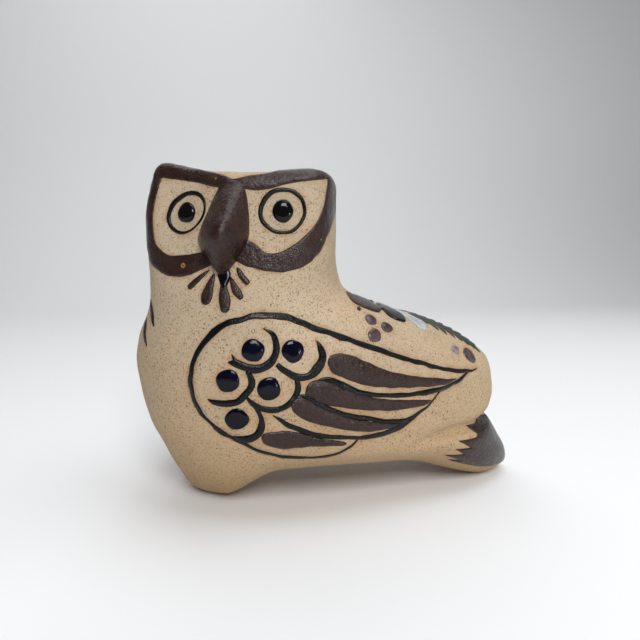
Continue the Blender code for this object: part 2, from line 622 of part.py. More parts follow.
for side, way in (("left", 1), ("right", -1)):
    wing = flat_press((0, 0, 0), (1, 0, 0), (0, 0, 1), (0, way, 0))
    lines = [line_stroke(WING_OUTLINE, step=3.5, closed=True)]
    lines += [line_stroke(quill) for quill in WING_QUILLS]
    lay("wing_linework_" + side, wing, lines, BLACK, 0.2)
    coverts = [line_stroke(arc, step=2.2) for arc in COVERTS]
    lay("wing_coverts_" + side, wing, coverts, BLACK, 0.2)
    for number, (centre, radius) in enumerate(WING_DOTS, 1):
        dot = dome(centre, (radius, radius), 0.6)
        lay(f"wing_dot_{number}_{side}", wing, [dot], COBALT, 0.2)
    for number, knots in enumerate(FEATHERS, 1):
        lay(f"feather_{number}_{side}", wing, [full_stroke(knots, 3)], BROWN)

# ---------------------------------------------------------------- breast

front = flat_press((0, 0, 0), (0, 1, 0), (0, 0, 1), (1, 0, 0))
for side, way in (("left", -1), ("right", 1)):
    upper = [(9 * way, 60.4, 0.3), (12 * way, 57.8, 0.8), (15.5 * way, 54, 0.3)]
    lower = [(8 * way, 55.3, 0.3), (11.2 * way, 52.2, 0.8), (14.7 * way, 48.5, 0.3)]
    lay("breast_mark_upper_" + side, front, [full_stroke(upper)], BROWN)
    lay("breast_mark_lower_" + side, front, [full_stroke(lower)], BROWN)

# ---------------------------------------------------------------- back and tail

above = flat_press((0, 0, 0), (1, 0, 0), (0, 1, 0), (0, 0, -1))
PETALS = {
    "brown": ([(13.6, 3.6, 0.7), (11.8, 9, 3.1), (10.5, 14, 4.5), (10.2, 17.6, 3.4)], BROWN),
    "black": ([(17.8, 3.6, 0.7), (18.6, 9, 2.4), (19.5, 14.5, 3.1), (19.8, 18, 1.7)], BLACK),
    "white": ([(20.8, 3.6, 0.6), (23.6, 9, 1.9), (26.5, 14.6, 2.4), (27.8, 17.2, 1.4)], PALE),
}
for side, way in (("left", -1), ("right", 1)):
    for name, (knots, colour) in PETALS.items():
        petal = [(x, y * way, half) for x, y, half in knots]
        lay(f"petal_{name}_{side}", above, [full_stroke(petal)], colour)
    leaf_path = np.linspace((29.5, 7.5), (48, 11), 11)
    teeth = [0.3, 3.4, 2.6, 4.9, 3.7, 5.4, 3.9, 4.6, 2.8, 2.6, 0.3]
    leaf = np.column_stack([leaf_path[:, 0], leaf_path[:, 1] * way, teeth])
    left_edge, right_edge = edges_of(leaf)
    lay("leaf_" + side, above, [strip(left_edge, right_edge, 4)], GREEN)

# Drops beside the flower: centre, radii, lean.
DROPS = [((10.3, 55.6), (1.85, 1.3), radians(-20)), ((14.9, 53.4), (1.85, 1.25), radians(-20)),
         ((10.6, 51.7), (2, 1.7), radians(-15))]
FAR_DROPS = [((6.4, 58.3), (0.9, 0.7), 0, BROWN), ((37.6, 45.5), (1.3, 1), 0, PALE),
             ((43.4, 43.2), (2.2, 1.2), radians(-38), BROWN)]
for side, way in (("left", 1), ("right", -1)):
    wing = flat_press((0, 0, 0), (1, 0, 0), (0, 0, 1), (0, way, 0))
    for number, (centre, radii, lean) in enumerate(DROPS, 1):
        lay(f"back_drop_{number}_{side}", wing, [dome(centre, radii, 0.5, lean, 10)], BROWN)
    if side == "left":
        for number, (centre, radii, lean, colour) in enumerate(FAR_DROPS, 4):
            drop = dome(centre, radii, 0.5, lean, 10)
            lay(f"back_drop_{number}_{side}", wing, [drop], colour)

# Dark glaze over the end of the tail, with a ragged front edge on each side.
TAIL_AXIS, TAIL_RADIUS = 40, 18
tail = round_press(TAIL_AXIS, TAIL_RADIUS)
CAP = [(-19, 13.5, 5.2), (-10, 12.4, 8.2), (0, 12.4, 8.2), (10, 12.4, 8.2), (19, 13.5, 5.2)]
tail_strokes = [strip(*edges_of(smooth(CAP, 2.5)), 7)]
SPIKES = [((17, 17), (22.5, 23), 1.5), ((17, 16), (25.5, 21.3), 1.6),
          ((17, 14.2), (29.5, 18.8), 1.6), ((17, 12), (32, 14.6), 1.6),
          ((17, 10.2), (29, 10.8), 1.5)]
for way in (-1, 1):
    for root, tip, half in SPIKES:
        rows = [(root[0] * way, root[1], half), (tip[0] * way, tip[1], 0.2)]
        tail_strokes.append(line_stroke(rows, step=4.5))
lay("tail_tip_glaze", tail, tail_strokes, BROWN, 0.3, 0.45)
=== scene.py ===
"""Looks for the hand-painted stoneware owl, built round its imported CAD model.

The clay body is one closed skin lofted from the same stations as the CAD body, with
the pressed relief of wings, tail crease, seam and eye sockets added. Every slip or glaze
stroke is laid on that skin as a raised, closed piece. Shapes are worked out in the frame
of the CAD body, in millimetres: +X to the tail, -Y to the side the face looks to, +Z up.
settled() then moves them over the footprint.
"""
from math import cos, pi, radians, sin, tan

import bpy
import bmesh
import numpy as np
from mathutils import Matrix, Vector, noise
from mathutils.bvhtree import BVHTree
from mathutils.kdtree import KDTree


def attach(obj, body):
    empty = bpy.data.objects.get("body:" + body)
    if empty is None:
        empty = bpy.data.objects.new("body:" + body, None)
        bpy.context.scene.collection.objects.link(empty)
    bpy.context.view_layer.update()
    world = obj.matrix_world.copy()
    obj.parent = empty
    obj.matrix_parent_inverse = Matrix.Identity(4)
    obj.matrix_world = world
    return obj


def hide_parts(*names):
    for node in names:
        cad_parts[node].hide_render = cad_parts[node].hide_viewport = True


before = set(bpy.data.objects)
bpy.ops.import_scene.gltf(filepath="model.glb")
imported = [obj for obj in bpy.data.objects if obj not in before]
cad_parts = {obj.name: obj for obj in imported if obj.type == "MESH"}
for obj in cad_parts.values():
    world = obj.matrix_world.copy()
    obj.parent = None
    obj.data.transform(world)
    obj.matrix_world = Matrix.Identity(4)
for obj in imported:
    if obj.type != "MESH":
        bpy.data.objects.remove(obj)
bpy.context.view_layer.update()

MM = 0.001
PLAN_MIDDLE = (4.3, 0.0)

# ---------------------------------------------------------------- body stations

BREAST_X = [(0, -39), (3, -42), (9, -45), (18, -49), (26, -52.5), (34, -54.5), (43, -55.5),
            (50, -54.5), (57, -52), (64, -50.5), (72, -50)]
BACK_X = [(0, 60.5), (2, 62.5), (5, 63.5), (9, 62.5), (14.5, 59.5), (20, 56), (22.5, 54),
          (25.5, 56), (30, 57), (36, 56.5), (40.5, 55), (44, 51.5), (47.5, 46.5), (50.5, 41),
          (53.5, 34), (55.8, 26.3), (58, 20.5), (60, 14.6), (62, 11), (64.5, 8), (67, 7), (72, 6)]
HALF_WIDTH = [(0, 10.5), (2, 14.5), (5, 19), (10, 24), (18, 28.5), (28, 31), (38, 31), (48, 30),
              (56, 29), (72, 28)]
CORE_X = [(0, -8), (10, -12), (30, -17), (50, -20), (64, -22), (72, -23)]
TAIL_BLUNTNESS = [(0, 3.2), (16, 3), (24, 2.4), (34, 2.3), (50, 2.1), (64, 2)]
NECK_LOW, NECK_HIGH = 55, 75
ARCH_RISE = 8.5
FOOT_BACK, TAIL_FRONT = -33, 60
ARCH_SHOULDERS = (-14, 22)
FOOT_ZONE, FOOT_DROP = 14, 1.1   # the lowest zone is flattened, and all above it comes down
HEAD_TURN = radians(72)
HEAD_AT = (-23.5, -3.0)
HEAD_HALF_WIDTH, HEAD_HALF_DEPTH, HEAD_SQUARENESS = 27, 21, 3.2
FACE_FORWARD = 21.5
FACE_WEDGE = radians(11)
FACE_RIDGE = 2.5
TOP, TOP_EDGE = 97, 4
EAR_RISE, EAR_TILT, EAR_TUCK = 3.2, -0.065, 3
CHEEK_TUCK = 1


def station(table, height):
    """Value of a station table at a height, by a curve that never overshoots."""
    at, value = np.array(table, float).T
    gap = np.diff(at)
    slope = np.diff(value) / gap
    tangent = np.zeros_like(value)
    tangent[0], tangent[-1] = slope[0], slope[-1]
    for i in range(1, len(at) - 1):
        if slope[i - 1] * slope[i] > 0:
            tangent[i] = 2 * slope[i - 1] * slope[i] / (slope[i - 1] + slope[i])
    height = np.clip(height, at[0], at[-1])
    i = np.clip(np.searchsorted(at, height) - 1, 0, len(gap) - 1)
    s = (height - at[i]) / gap[i]
    start = (1 + 2 * s) * (1 - s) ** 2 * value[i] + s * (1 - s) ** 2 * gap[i] * tangent[i]
    end = s * s * (3 - 2 * s) * value[i + 1] + s * s * (s - 1) * gap[i] * tangent[i + 1]
    return start + end


def ease(x, low, high):
    s = np.clip((x - low) / (high - low), 0, 1)
    return s * s * (3 - 2 * s)


def soft_min(a, b, blend):
    h = np.clip(0.5 + 0.5 * (b - a) / blend, 0, 1)
    return b + (a - b) * h - blend * h * (1 - h)


def arch(x):
    rise = ease(x, FOOT_BACK, ARCH_SHOULDERS[0]) * (1 - ease(x, ARCH_SHOULDERS[1], TAIL_FRONT))
    return np.maximum(0, (ARCH_RISE + 0.6) * rise - 0.6)


def body_ring(angle, height):
    breast, back = station(BREAST_X, height), station(BACK_X, height)
    core, half = station(CORE_X, height), station(HALF_WIDTH, height)
    c, s = np.cos(angle), np.sin(angle)
    blunt = np.where(c > 0, station(TAIL_BLUNTNESS, height), 2.0)
    reach = np.where(c > 0, back - core, core - breast)
    x = core + reach * np.sign(c) * np.abs(c) ** (2 / blunt)
    y = half * np.sign(s) * np.abs(s) ** (2 / 2.15)
    return x, y


def head_ring(angle, height):
    """Head outline in plan, and how far each point lies across the face."""
    turn = angle - (HEAD_TURN - pi)
    along, across = np.cos(turn), np.sin(turn)
    side = (np.abs(along / HEAD_HALF_DEPTH) ** HEAD_SQUARENESS
            + np.abs(across / HEAD_HALF_WIDTH) ** HEAD_SQUARENESS) ** (-1 / HEAD_SQUARENESS)
    forward = FACE_FORWARD - 2 * ease(height, 78, TOP) + 3 * (1 - ease(height, 58, 80))
    reach = side
    for way in (-1, 1):
        lean = np.cos(turn - way * FACE_WEDGE)
        plane = way * sin(FACE_WEDGE) * FACE_RIDGE + cos(FACE_WEDGE) * forward
        flat = np.where(lean > 0.15, plane / np.maximum(lean, 0.15), 1000)
        reach = soft_min(flat, reach, 3 if way > 0 else 2)
    u = reach * across
    x = HEAD_AT[0] + reach * np.cos(angle)
    tuck = EAR_TUCK * ease(height, 82, TOP) + CHEEK_TUCK * ease(height, 60, 70)
    x = x + tuck * np.clip((HEAD_AT[0] - x) / HEAD_HALF_WIDTH, 0, 1)
    return x, HEAD_AT[1] + reach * np.sin(angle), u


def ring(angle, height, shrink=1.0):
    """One closed ring of the outside surface."""
    bx, by = body_ring(angle, min(height, 72))
    hx, hy, u = head_ring(angle, height)
    h = ease(height, NECK_LOW, NECK_HIGH)
    middle_x = station(CORE_X, min(height, 72)) * (1 - h) + HEAD_AT[0] * h
    middle_y = HEAD_AT[1] * h
    x = middle_x + (bx + (hx - bx) * h - middle_x) * shrink
    y = middle_y + (by + (hy - by) * h - middle_y) * shrink
    z = height + arch(x) * (1 - ease(height, 0, 24))
    rise = EAR_RISE * ((u * shrink / HEAD_HALF_WIDTH) ** 2 - 0.5) + EAR_TILT * u * shrink
    z = z + rise * ease(height, 70, TOP)
    return np.stack([x, y, z + 0 * x], -1)


def smooth(knots, step, closed=False):
    """Points along an even curve through the knots, about one per step."""
    knots = np.array(knots, float)
    if closed:
        before, after = np.roll(knots, 1, 0), np.roll(knots, -1, 0)
        spans = len(knots)
    else:
        before = np.vstack([2 * knots[0] - knots[1], knots[:-1]])
        after = np.vstack([knots[1:], 2 * knots[-1] - knots[-2]])
        spans = len(knots) - 1
    tangent = (after - before) / 2
    points = []
    for i in range(spans):
        j = (i + 1) % len(knots)
        length = np.linalg.norm((knots[j] - knots[i])[:2])
        count = max(1, round(length / step))
        for s in np.arange(count) / count:
            points.append((1 + 2 * s) * (1 - s) ** 2 * knots[i] + s * (1 - s) ** 2 * tangent[i]
                          + s * s * (3 - 2 * s) * knots[j] + s * s * (s - 1) * tangent[j])
    if not closed:
        points.append(knots[-1])
    return np.array(points)


# ---------------------------------------------------------------- painted design

# Strokes are rows of (a, b, half width) on a flat drawing plane: the wing's is (x, z).
WING_OUTLINE = [
    (45.2, 39.3, 0.12), (43.2, 39.1, 0.35), (41.2, 39.2, 0.5), (30.7, 41.3, 0.54),
    (24.1, 43.5, 0.63), (16, 46.1, 0.66), (8.4, 49, 0.7), (1.1, 51.7, 0.73), (-3.6, 53.4, 0.73),
    (-8.2, 55.2, 0.74), (-12.8, 57.1, 0.74), (-17.3, 58, 0.78), (-21.7, 57.9, 0.77),
    (-25.2, 57.2, 0.73), (-29.1, 56.1, 0.73), (-32.2, 54.1, 0.77), (-34.9, 51.2, 0.73),
    (-37.1, 47.8, 0.69), (-38.4, 43.7, 0.62), (-38.6, 40.1, 0.58), (-37.9, 36, 0.56),
    (-36.2, 32.8, 0.56), (-33.8, 30.2, 0.56), (-31.5, 28.3, 0.63), (-28.4, 26.4, 0.56),
    (-25.3, 24.5, 0.54), (-21.3, 22.3, 0.5), (-16.8, 20.7, 0.5), (-12.2, 19.8, 0.51),
    (-7.4, 19.2, 0.46), (-3.7, 19.3, 0.47), (0.1, 20.2, 0.42), (3.3, 22.1, 0.42),
    (5.1, 23.8, 0.37),
]
WING_KINK = [(-33.2, 28.6, 0.2), (-31.2, 27.6, 0.55), (-28.6, 26.2, 0.3)]
WING_EDGE = [
    (-17.9, 32.4, 0.15), (-16, 31, 0.49), (-13.3, 29.1, 0.67), (-9.6, 27.5, 0.68),
    (-5.5, 26.2, 0.64), (-1.2, 25.5, 0.6), (3.1, 24.9, 0.6), (6.6, 24.4, 0.79),
    (10.5, 24.8, 0.94), (14.6, 25.6, 0.99), (18.2, 27.2, 1.1), (20.8, 28.4, 0.86),
    (23, 29.6, 0.6), (26.3, 31.4, 0.39), (29.2, 34, 0.34), (31.5, 35.6, 0.3),
]
WING_QUILLS = [
    [(41.4, 39, 0.35), (37.5, 37.3, 0.6), (33.5, 36.2, 0.75), (30.3, 35.7, 0.78),
     (26.3, 35.5, 0.73), (20.8, 35.3, 0.67), (15.5, 35.4, 0.66), (10.4, 36, 0.7),
     (5.4, 37.2, 0.78), (1.1, 38.9, 0.87), (-1.2, 40.2, 0.82), (-3.1, 41.2, 0.63),
     (-5.5, 41.1, 0.32), (-6.5, 40.8, 0.1)],
    [(20, 28.2, 0.7), (15.5, 28.3, 0.66), (10.4, 29.1, 0.65), (5.4, 30.4, 0.74),
     (0.6, 31.7, 0.78), (-3.1, 33.1, 0.82), (-6.4, 35, 0.81), (-8.7, 36.7, 0.58),
     (-11.2, 37.4, 0.27), (-12.2, 37.5, 0.1)],
]
COVERTS = [
    [(-19.9, 55, 0.13), (-18, 53.6, 0.58), (-16.9, 51.3, 0.84), (-16.8, 48.7, 0.93),
     (-18, 46.5, 1.02), (-20, 45.1, 1.1), (-22.8, 44.7, 1.15), (-25.4, 45.5, 1.1),
     (-27.4, 46.2, 0.9), (-29, 46.5, 0.2)],
    [(-25.6, 45.8, 0.7), (-26.9, 46.6, 0.6), (-27.6, 47.6, 0.4), (-28.1, 48.5, 0.1)],
    [(-6.1, 51.3, 0.14), (-5.1, 49.5, 0.77), (-4.8, 47.3, 1.09), (-5.8, 44.7, 1.22),
     (-7.7, 42.8, 1.17), (-10.2, 42, 1.07), (-12.7, 42.6, 0.85), (-14.9, 44.2, 0.76),
     (-16.6, 45.8, 0.67)],
    [(-24.2, 44.2, 0.66), (-23.3, 41.8, 0.84), (-23.7, 39.6, 0.93), (-25.1, 37.8, 0.93),
     (-27.3, 36.2, 0.88), (-30.4, 35.9, 0.84), (-33, 36.3, 0.53), (-34.3, 36.9, 0.1)],
    [(-11.5, 41.4, 0.67), (-11.5, 38.7, 0.74), (-12.6, 36.5, 0.76), (-14.6, 34.7, 0.8),
     (-17.7, 33.8, 0.8), (-20.4, 34.3, 0.75), (-23, 35.8, 0.66), (-24.8, 37.8, 0.4)],
    [(-22.5, 35, 0.5), (-21.9, 33.9, 0.62), (-20.9, 31.8, 0.76), (-20.9, 29.5, 0.98),
     (-22, 27.4, 1.12), (-24.4, 26.1, 1.07), (-26.6, 26.3, 0.67), (-28.1, 26.9, 0.1)],
]
WING_DOTS = [((-22.7, 49.4), 2.95, 2.85), ((-12.5, 48.9), 2.9, 2.95), ((-29.2, 41.7), 3, 2.9),
             ((-18.9, 39.5), 3.03, 2.95), ((-27.1, 31.6), 2.98, 2.85)]
FEATHERS = [
    [(-3.35, 46.1, 0.3), (-3.1, 46, 1.1), (-2.5, 45.9, 1.8), (-1.4, 45.5, 2.5), (0.8, 44.6, 3),
     (4.6, 43.1, 3.2), (9.5, 41.2, 2.7), (15.5, 39.7, 2), (21.9, 38.7, 1.55),
     (30.4, 37.8, 0.95), (34.3, 37.9, 0.5), (36, 38, 0.15)],
    [(-9.5, 38, 0.3), (-9.2, 38, 1.1), (-8.4, 38.2, 1.9), (-6.8, 38.5, 2.7), (-4.1, 37.7, 2.9),
     (-0.3, 36.4, 2.7), (4.5, 34.9, 2.2), (9.4, 33.7, 1.75), (15.5, 33, 1.45),
     (21.9, 32.7, 1.05), (26, 32.7, 0.6), (27.4, 32.8, 0.15)],
    [(-13.2, 34.9, 0.3), (-12.9, 34.9, 1), (-12.1, 34.8, 1.8), (-10.8, 34.5, 2.4),
     (-7.8, 32.9, 2.65), (-4.1, 31, 2.2), (0.6, 29.4, 1.85), (5.5, 28.1, 1.55),
     (10.4, 27.4, 1.15), (15.5, 27.4, 0.5), (17, 27.6, 0.15)],
    [(-20.9, 26.7, 0.3), (-20.6, 26.7, 0.95), (-19.9, 26.5, 1.5), (-18.7, 26.1, 2),
     (-15.5, 25.6, 2.45), (-11.4, 25.2, 2.2), (-7.3, 24.6, 1.4), (-4, 24.1, 0.95),
     (-1.1, 23.7, 0.75), (1, 23.4, 0.6), (1.8, 23.3, 0.15)],
]
TAIL_CREASE = [(53, 22), (44.5, 21.4), (37, 21.8), (29, 21.1), (22, 19.4), (15, 17.6)]
# Each eye on the face: centre, ring radii, lean of the ring, pupil radii.
EYES = {
    "right": ((-13.1, 84.7), (5.9, 4.7), radians(42), (2.62, 2.7)),
    "left": ((13.0, 84.8), (5.6, 5.6), 0, (2.72, 2.95)),
}

# ---------------------------------------------------------------- clay body

# Pressed relief: how high or deep, and how wide.
PAD_RISE, PAD_EDGE = 0.75, (-1.2, 2.0)
PAD_GROOVE = 0.35, 0.9
FEATHER_RIDGE = 0.35, 2.2
QUILL_GROOVE = 0.3, 1.1
CREASE = 1.35, 1.5
SEAM = 0.07, 0.7
SOCKET = 0.5, 7.5
HAND_WAVES = [(0.055, 0.32), (0.17, 0.1)]   # the maker's unevenness: waves per mm, height

face_across = (sin(HEAD_TURN), -cos(HEAD_TURN), 0)
face_inward = (cos(HEAD_TURN), sin(HEAD_TURN), 0)
face_origin = (HEAD_AT[0] + FACE_RIDGE * face_across[0],
               HEAD_AT[1] + FACE_RIDGE * face_across[1], 0)


def clay_skin(columns=440, step=0.55):
    """Closed skin of the clay, before its relief."""
    angle = np.arange(columns) * 2 * pi / columns
    rings = [ring(angle, 0, shrink) for shrink in np.linspace(0.04, 0.98, 22)]
    rings += [ring(angle, height) for height in np.arange(0, TOP - TOP_EDGE, step)]
    for a in np.linspace(0, pi / 2, 10):
        shrink = 1 - TOP_EDGE / 25 * (1 - cos(a))
        rings.append(ring(angle, TOP - TOP_EDGE + TOP_EDGE * sin(a), shrink))
    rings += [ring(angle, TOP, shrink) for shrink in np.linspace(0.8, 0.04, 12)]
    points = np.vstack(rings + [rings[0].mean(0)[None], rings[-1].mean(0)[None]])
    row = np.arange(len(rings) - 1)[:, None] * columns
    j = np.arange(columns)[None, :]
    k = (j + 1) % columns
    quads = np.stack([row + j, row + k, row + columns + k, row + columns + j], -1).reshape(-1, 4)
    low, high, last = len(points) - 2, len(points) - 1, (len(rings) - 1) * columns
    caps = [(low, (i + 1) % columns, i) for i in range(columns)]
    caps += [(high, last + i, last + (i + 1) % columns) for i in range(columns)]
    return points, quads, caps


def normals_of(points, quads):
    a, b, c, d = (points[quads[:, i]] for i in range(4))
    facing = np.cross(c - a, d - b)
    total = np.zeros_like(points)
    for i in range(4):
        np.add.at(total, quads[:, i], facing)
    return total / np.maximum(np.linalg.norm(total, axis=1), 1e-9)[:, None]


def distance_to(path, a, b, closed=False):
    """Distance from drawn points to a drawn line."""
    ends = np.roll(path, -1, 0) if closed else path[1:]
    best = np.full(len(a), 1e9)
    for p, q in zip(path, ends):
        along = q[:2] - p[:2]
        t = ((a - p[0]) * along[0] + (b - p[1]) * along[1]) / max(along @ along, 1e-9)
        t = np.clip(t, 0, 1)
        best = np.minimum(best, np.hypot(a - p[0] - t * along[0], b - p[1] - t * along[1]))
    return best


def within(path, a, b):
    """Which drawn points lie inside a closed drawn line."""
    inside = np.zeros(len(a), bool)
    for p, q in zip(path, np.roll(path, -1, 0)):
        crosses = (p[1] > b) != (q[1] > b)
        level = (q[0] - p[0]) * (b - p[1]) / np.where(q[1] == p[1], 1e-9, q[1] - p[1]) + p[0]
        inside ^= crosses & (a < level)
    return inside


def groove(away, shape):
    """A rounded ridge or groove: shape is how high or deep and how wide it is."""
    size, width = shape
    return size * np.exp(-(away / width) ** 2)


def on_face(points, out):
    """How far across the face each point lies, and how far it looks out of the face."""
    across = ((points[:, 0] - face_origin[0]) * face_across[0]
              + (points[:, 1] - face_origin[1]) * face_across[1])
    return across, out[:, 0] * -face_inward[0] + out[:, 1] * -face_inward[1]


def relief(points, out):
    """How far the pressed relief lifts each point of the clay, in millimetres."""
    x, y, z = points.T
    lift = np.zeros(len(points))
    side = ease(np.abs(out[:, 1]), 0.25, 0.6)
    near = (side > 0) & (z > 14) & (z < 64) & (x > -46) & (x < 50)
    a, b = x[near], z[near]
    pad_line = smooth(WING_OUTLINE[2:-1] + WING_EDGE[7:-1] + [(37, 37.5, 0.5)], 1.5, True)
    signed = distance_to(pad_line, a, b, True) * np.where(within(pad_line, a, b), 1, -1)
    pad = PAD_RISE * ease(signed, *PAD_EDGE)
    pad -= groove(signed, PAD_GROOVE)
    for feather in FEATHERS:
        pad += groove(distance_to(smooth(feather, 1.5), a, b), FEATHER_RIDGE)
    for quill in WING_QUILLS + [WING_EDGE[:8]]:
        pad -= groove(distance_to(smooth(quill, 1.5), a, b), QUILL_GROOVE)
    lift[near] += pad * side[near]
    low = (z > 12) & (z < 34) & (x > 8) & (np.abs(y) > 6)
    away = distance_to(smooth(TAIL_CREASE, 1.5), x[low], z[low])
    lift[low] -= ease(x[low], 12, 30) * groove(away, CREASE)
    lift -= groove(y, SEAM) * (np.abs(out[:, 1]) < 0.5) * (z > 4)
    u, facing = on_face(points, out)
    for (eye_u, eye_z), _, _, _ in EYES.values():
        lift -= ease(facing, 0.5, 0.9) * groove(np.hypot(u - eye_u, z - eye_z), SOCKET)
    return lift


skin_points, skin_quads, skin_caps = clay_skin()
out = normals_of(skin_points, skin_quads)
lift = relief(skin_points, out)
hand = np.array([sum(noise.noise(Vector(p) * often) * high for often, high in HAND_WAVES)
                 for p in skin_points])
free = ease(skin_points[:, 2], 0.5, 4)
skin_points = skin_points + out * ((lift + hand) * free)[:, None]
out = normals_of(skin_points, skin_quads)
skin_faces = skin_quads.tolist() + [list(c) for c in skin_caps]
skin = BVHTree.FromPolygons(skin_points.tolist(), skin_faces)
face_ways = np.array([out[quad].mean(0) for quad in skin_quads])


# ---------------------------------------------------------------- laying glaze

FAR = 200     # where the rays that find the clay start from
SUNK = 0.22   # how far each piece of glaze reaches into the clay


# A press takes a drawn point (a, b) to a ray: where it starts and which way it goes.

def flat_press(origin, across, up, inward):
    origin, across, up, inward = map(Vector, (origin, across, up, inward))

    def aim(a, b):
        return origin + across * a + up * b - inward * FAR, inward
    return aim


def round_press(axis_x, radius):
    def aim(a, b):
        away = Vector((cos(a / radius), sin(a / radius), 0))
        return Vector((axis_x, 0, b)) + away * FAR, -away
    return aim


def folded_press(origin, across, up, inward, limits, depth, lean, radius):
    """A flat drawing plane whose margins fold round the two sides and the top."""
    origin, across, up, inward = map(Vector, (origin, across, up, inward))
    left, right, high = limits

    def aim(a, b):
        flat_a, flat_b = min(max(a, left), right), min(b, high)
        turn, rise = (a - flat_a) / radius, (b - flat_b) / radius
        pivot = origin + across * flat_a + up * flat_b
        pivot -= inward * (depth - abs(flat_a) * lean - radius)
        away = (across * sin(turn) - inward * cos(turn)) * cos(rise) + up * sin(rise)
        return pivot + away * FAR, -away
    return aim


def landing(press, a, b):
    start, way = press(a, b)
    here, facing, face, _ = skin.ray_cast(start, way)
    if face is not None and face < len(face_ways):
        facing = Vector(face_ways[face]).normalized()
    return here, facing


halo_points = []   # along the edges of the glaze, where the clay round it is stained


def settled(points):
    """Working points in millimetres, moved to their final place over the footprint."""
    moved = np.array(points, float) - (*PLAN_MIDDLE, 0)
    moved[..., 2] -= FOOT_DROP * np.clip(moved[..., 2] / FOOT_ZONE, 0, 1)
    return moved


def mesh_piece(name, points, faces, look, slot, replaces=()):
    """A finished piece from millimetre points, riding on the owl's one body."""
    mesh = bpy.data.meshes.new(name)
    mesh.from_pydata((settled(points) * MM).tolist(), [], [list(map(int, f)) for f in faces])
    shape = bmesh.new()
    shape.from_mesh(mesh)
    bmesh.ops.recalc_face_normals(shape, faces=shape.faces)
    shape.to_mesh(mesh)
    shape.free()
    mesh.shade_smooth()
    made = bpy.data.objects.new(name, mesh)
    bpy.context.scene.collection.objects.link(made)
    made.data.materials.append(look)
    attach(made, "root")
    if replaces:
        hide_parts(*replaces)
    return made


def grid_faces(rows, columns, closed=False):
    """Faces of a thin solid whose points are a grid of tops, then the same grid of bases."""
    lift = rows * columns
    faces = []
    for i in range(rows if closed else rows - 1):
        k = (i + 1) % rows
        for j in range(columns - 1):
            quad = (i * columns + j, i * columns + j + 1, k * columns + j + 1, k * columns + j)
            faces += [quad, tuple(v + lift for v in quad[::-1])]
        for j in (0, columns - 1):
            a, b = i * columns + j, k * columns + j
            faces.append((a, b, b + lift, a + lift))
    if not closed:
        for i in (0, rows - 1):
            for j in range(columns - 1):
                a = i * columns + j
                faces.append((a, a + 1, a + 1 + lift, a + lift))
    return faces


def grid_solid(press, plan, tops, closed=False):
    """Points and faces of a thin solid on the clay from a grid of drawn points."""
    rows, columns = tops.shape
    top, base = [], []
    for (a, b), height in zip(plan.reshape(-1, 2), tops.reshape(-1)):
        here, facing = landing(press, a, b)
        top.append(here + facing * height)
        base.append(here - facing * SUNK)
    margin = range(rows if closed else rows - 1)
    halo_points.extend(top[i * columns + j] for i in margin for j in (0, columns - 1))
    return top + base, grid_faces(rows, columns, closed)


def pillow(depth, edge, height):
    """Height of a glaze layer at a depth in from its edge."""
    s = np.clip(depth / edge, 0, 1)
    return height * np.sqrt(np.maximum(0, 1 - (1 - s) ** 2))


def wobble(count, step, seed, size):
    """An even hand's small wander along a stroke."""
    return np.array([noise.noise(Vector((i * step * 0.32, seed * 7.13, 0.5))) * size
                     for i in range(count)])


def stroke(press, knots, height=0.4, edge=None, columns=9, step=0.55, closed=False, seed=1,
           unsteady=0.14):
    """One brush stroke through knots of (a, b, half width)."""
    path = smooth(knots, step, closed)
    wide = 1 + wobble(len(path), step, seed, 2 * unsteady)
    drift = wobble(len(path), step, seed + 40, 0.25)
    if closed:
        along = np.roll(path, -1, 0) - np.roll(path, 1, 0)
        blend = np.minimum(np.arange(len(path)), len(path) - np.arange(len(path)))
        wide = 1 + (wide - 1) * ease(blend, 0, 8)
        drift = drift * ease(blend, 0, 8)
    else:
        along = np.gradient(path, axis=0)
    across = np.stack([-along[:, 1], along[:, 0]], -1)
    across /= np.maximum(np.linalg.norm(across, axis=1), 1e-9)[:, None]
    half = np.maximum(path[:, 2] * wide, 0.08)
    middle = path[:, :2] + across * drift[:, None]
    share = np.linspace(-1, 1, columns)
    share = np.sign(share) * (1 - (1 - np.abs(share)) ** 1.35)
    plan = middle[:, None] + across[:, None] * (half[:, None] * share[None, :])[..., None]
    depth = half[:, None] * (1 - np.abs(share))[None, :]
    tops = pillow(depth, half[:, None] if edge is None else edge,
                  np.minimum(height, half * 0.75)[:, None])
    return grid_solid(press, plan, tops, closed)


def round_ended(knots, step=0.3):
    """Knots with a half circle closing each blunt end of the stroke."""
    rows = [tuple(map(float, k)) for k in knots]
    done = list(rows)
    for end, inner, front in ((0, 1, True), (-1, -2, False)):
        a, b, half = rows[end]
        if half < 0.5:
            continue
        way = np.array(rows[end][:2]) - np.array(rows[inner][:2])
        way /= np.linalg.norm(way)
        extra = [(a + way[0] * half * s * 0.8, b + way[1] * half * s * 0.8,
                  half * np.sqrt(1 - s * s) + 0.02) for s in (0.5, 0.82, 0.97)]
        done = list(reversed(extra)) + done if front else done + extra
    return done


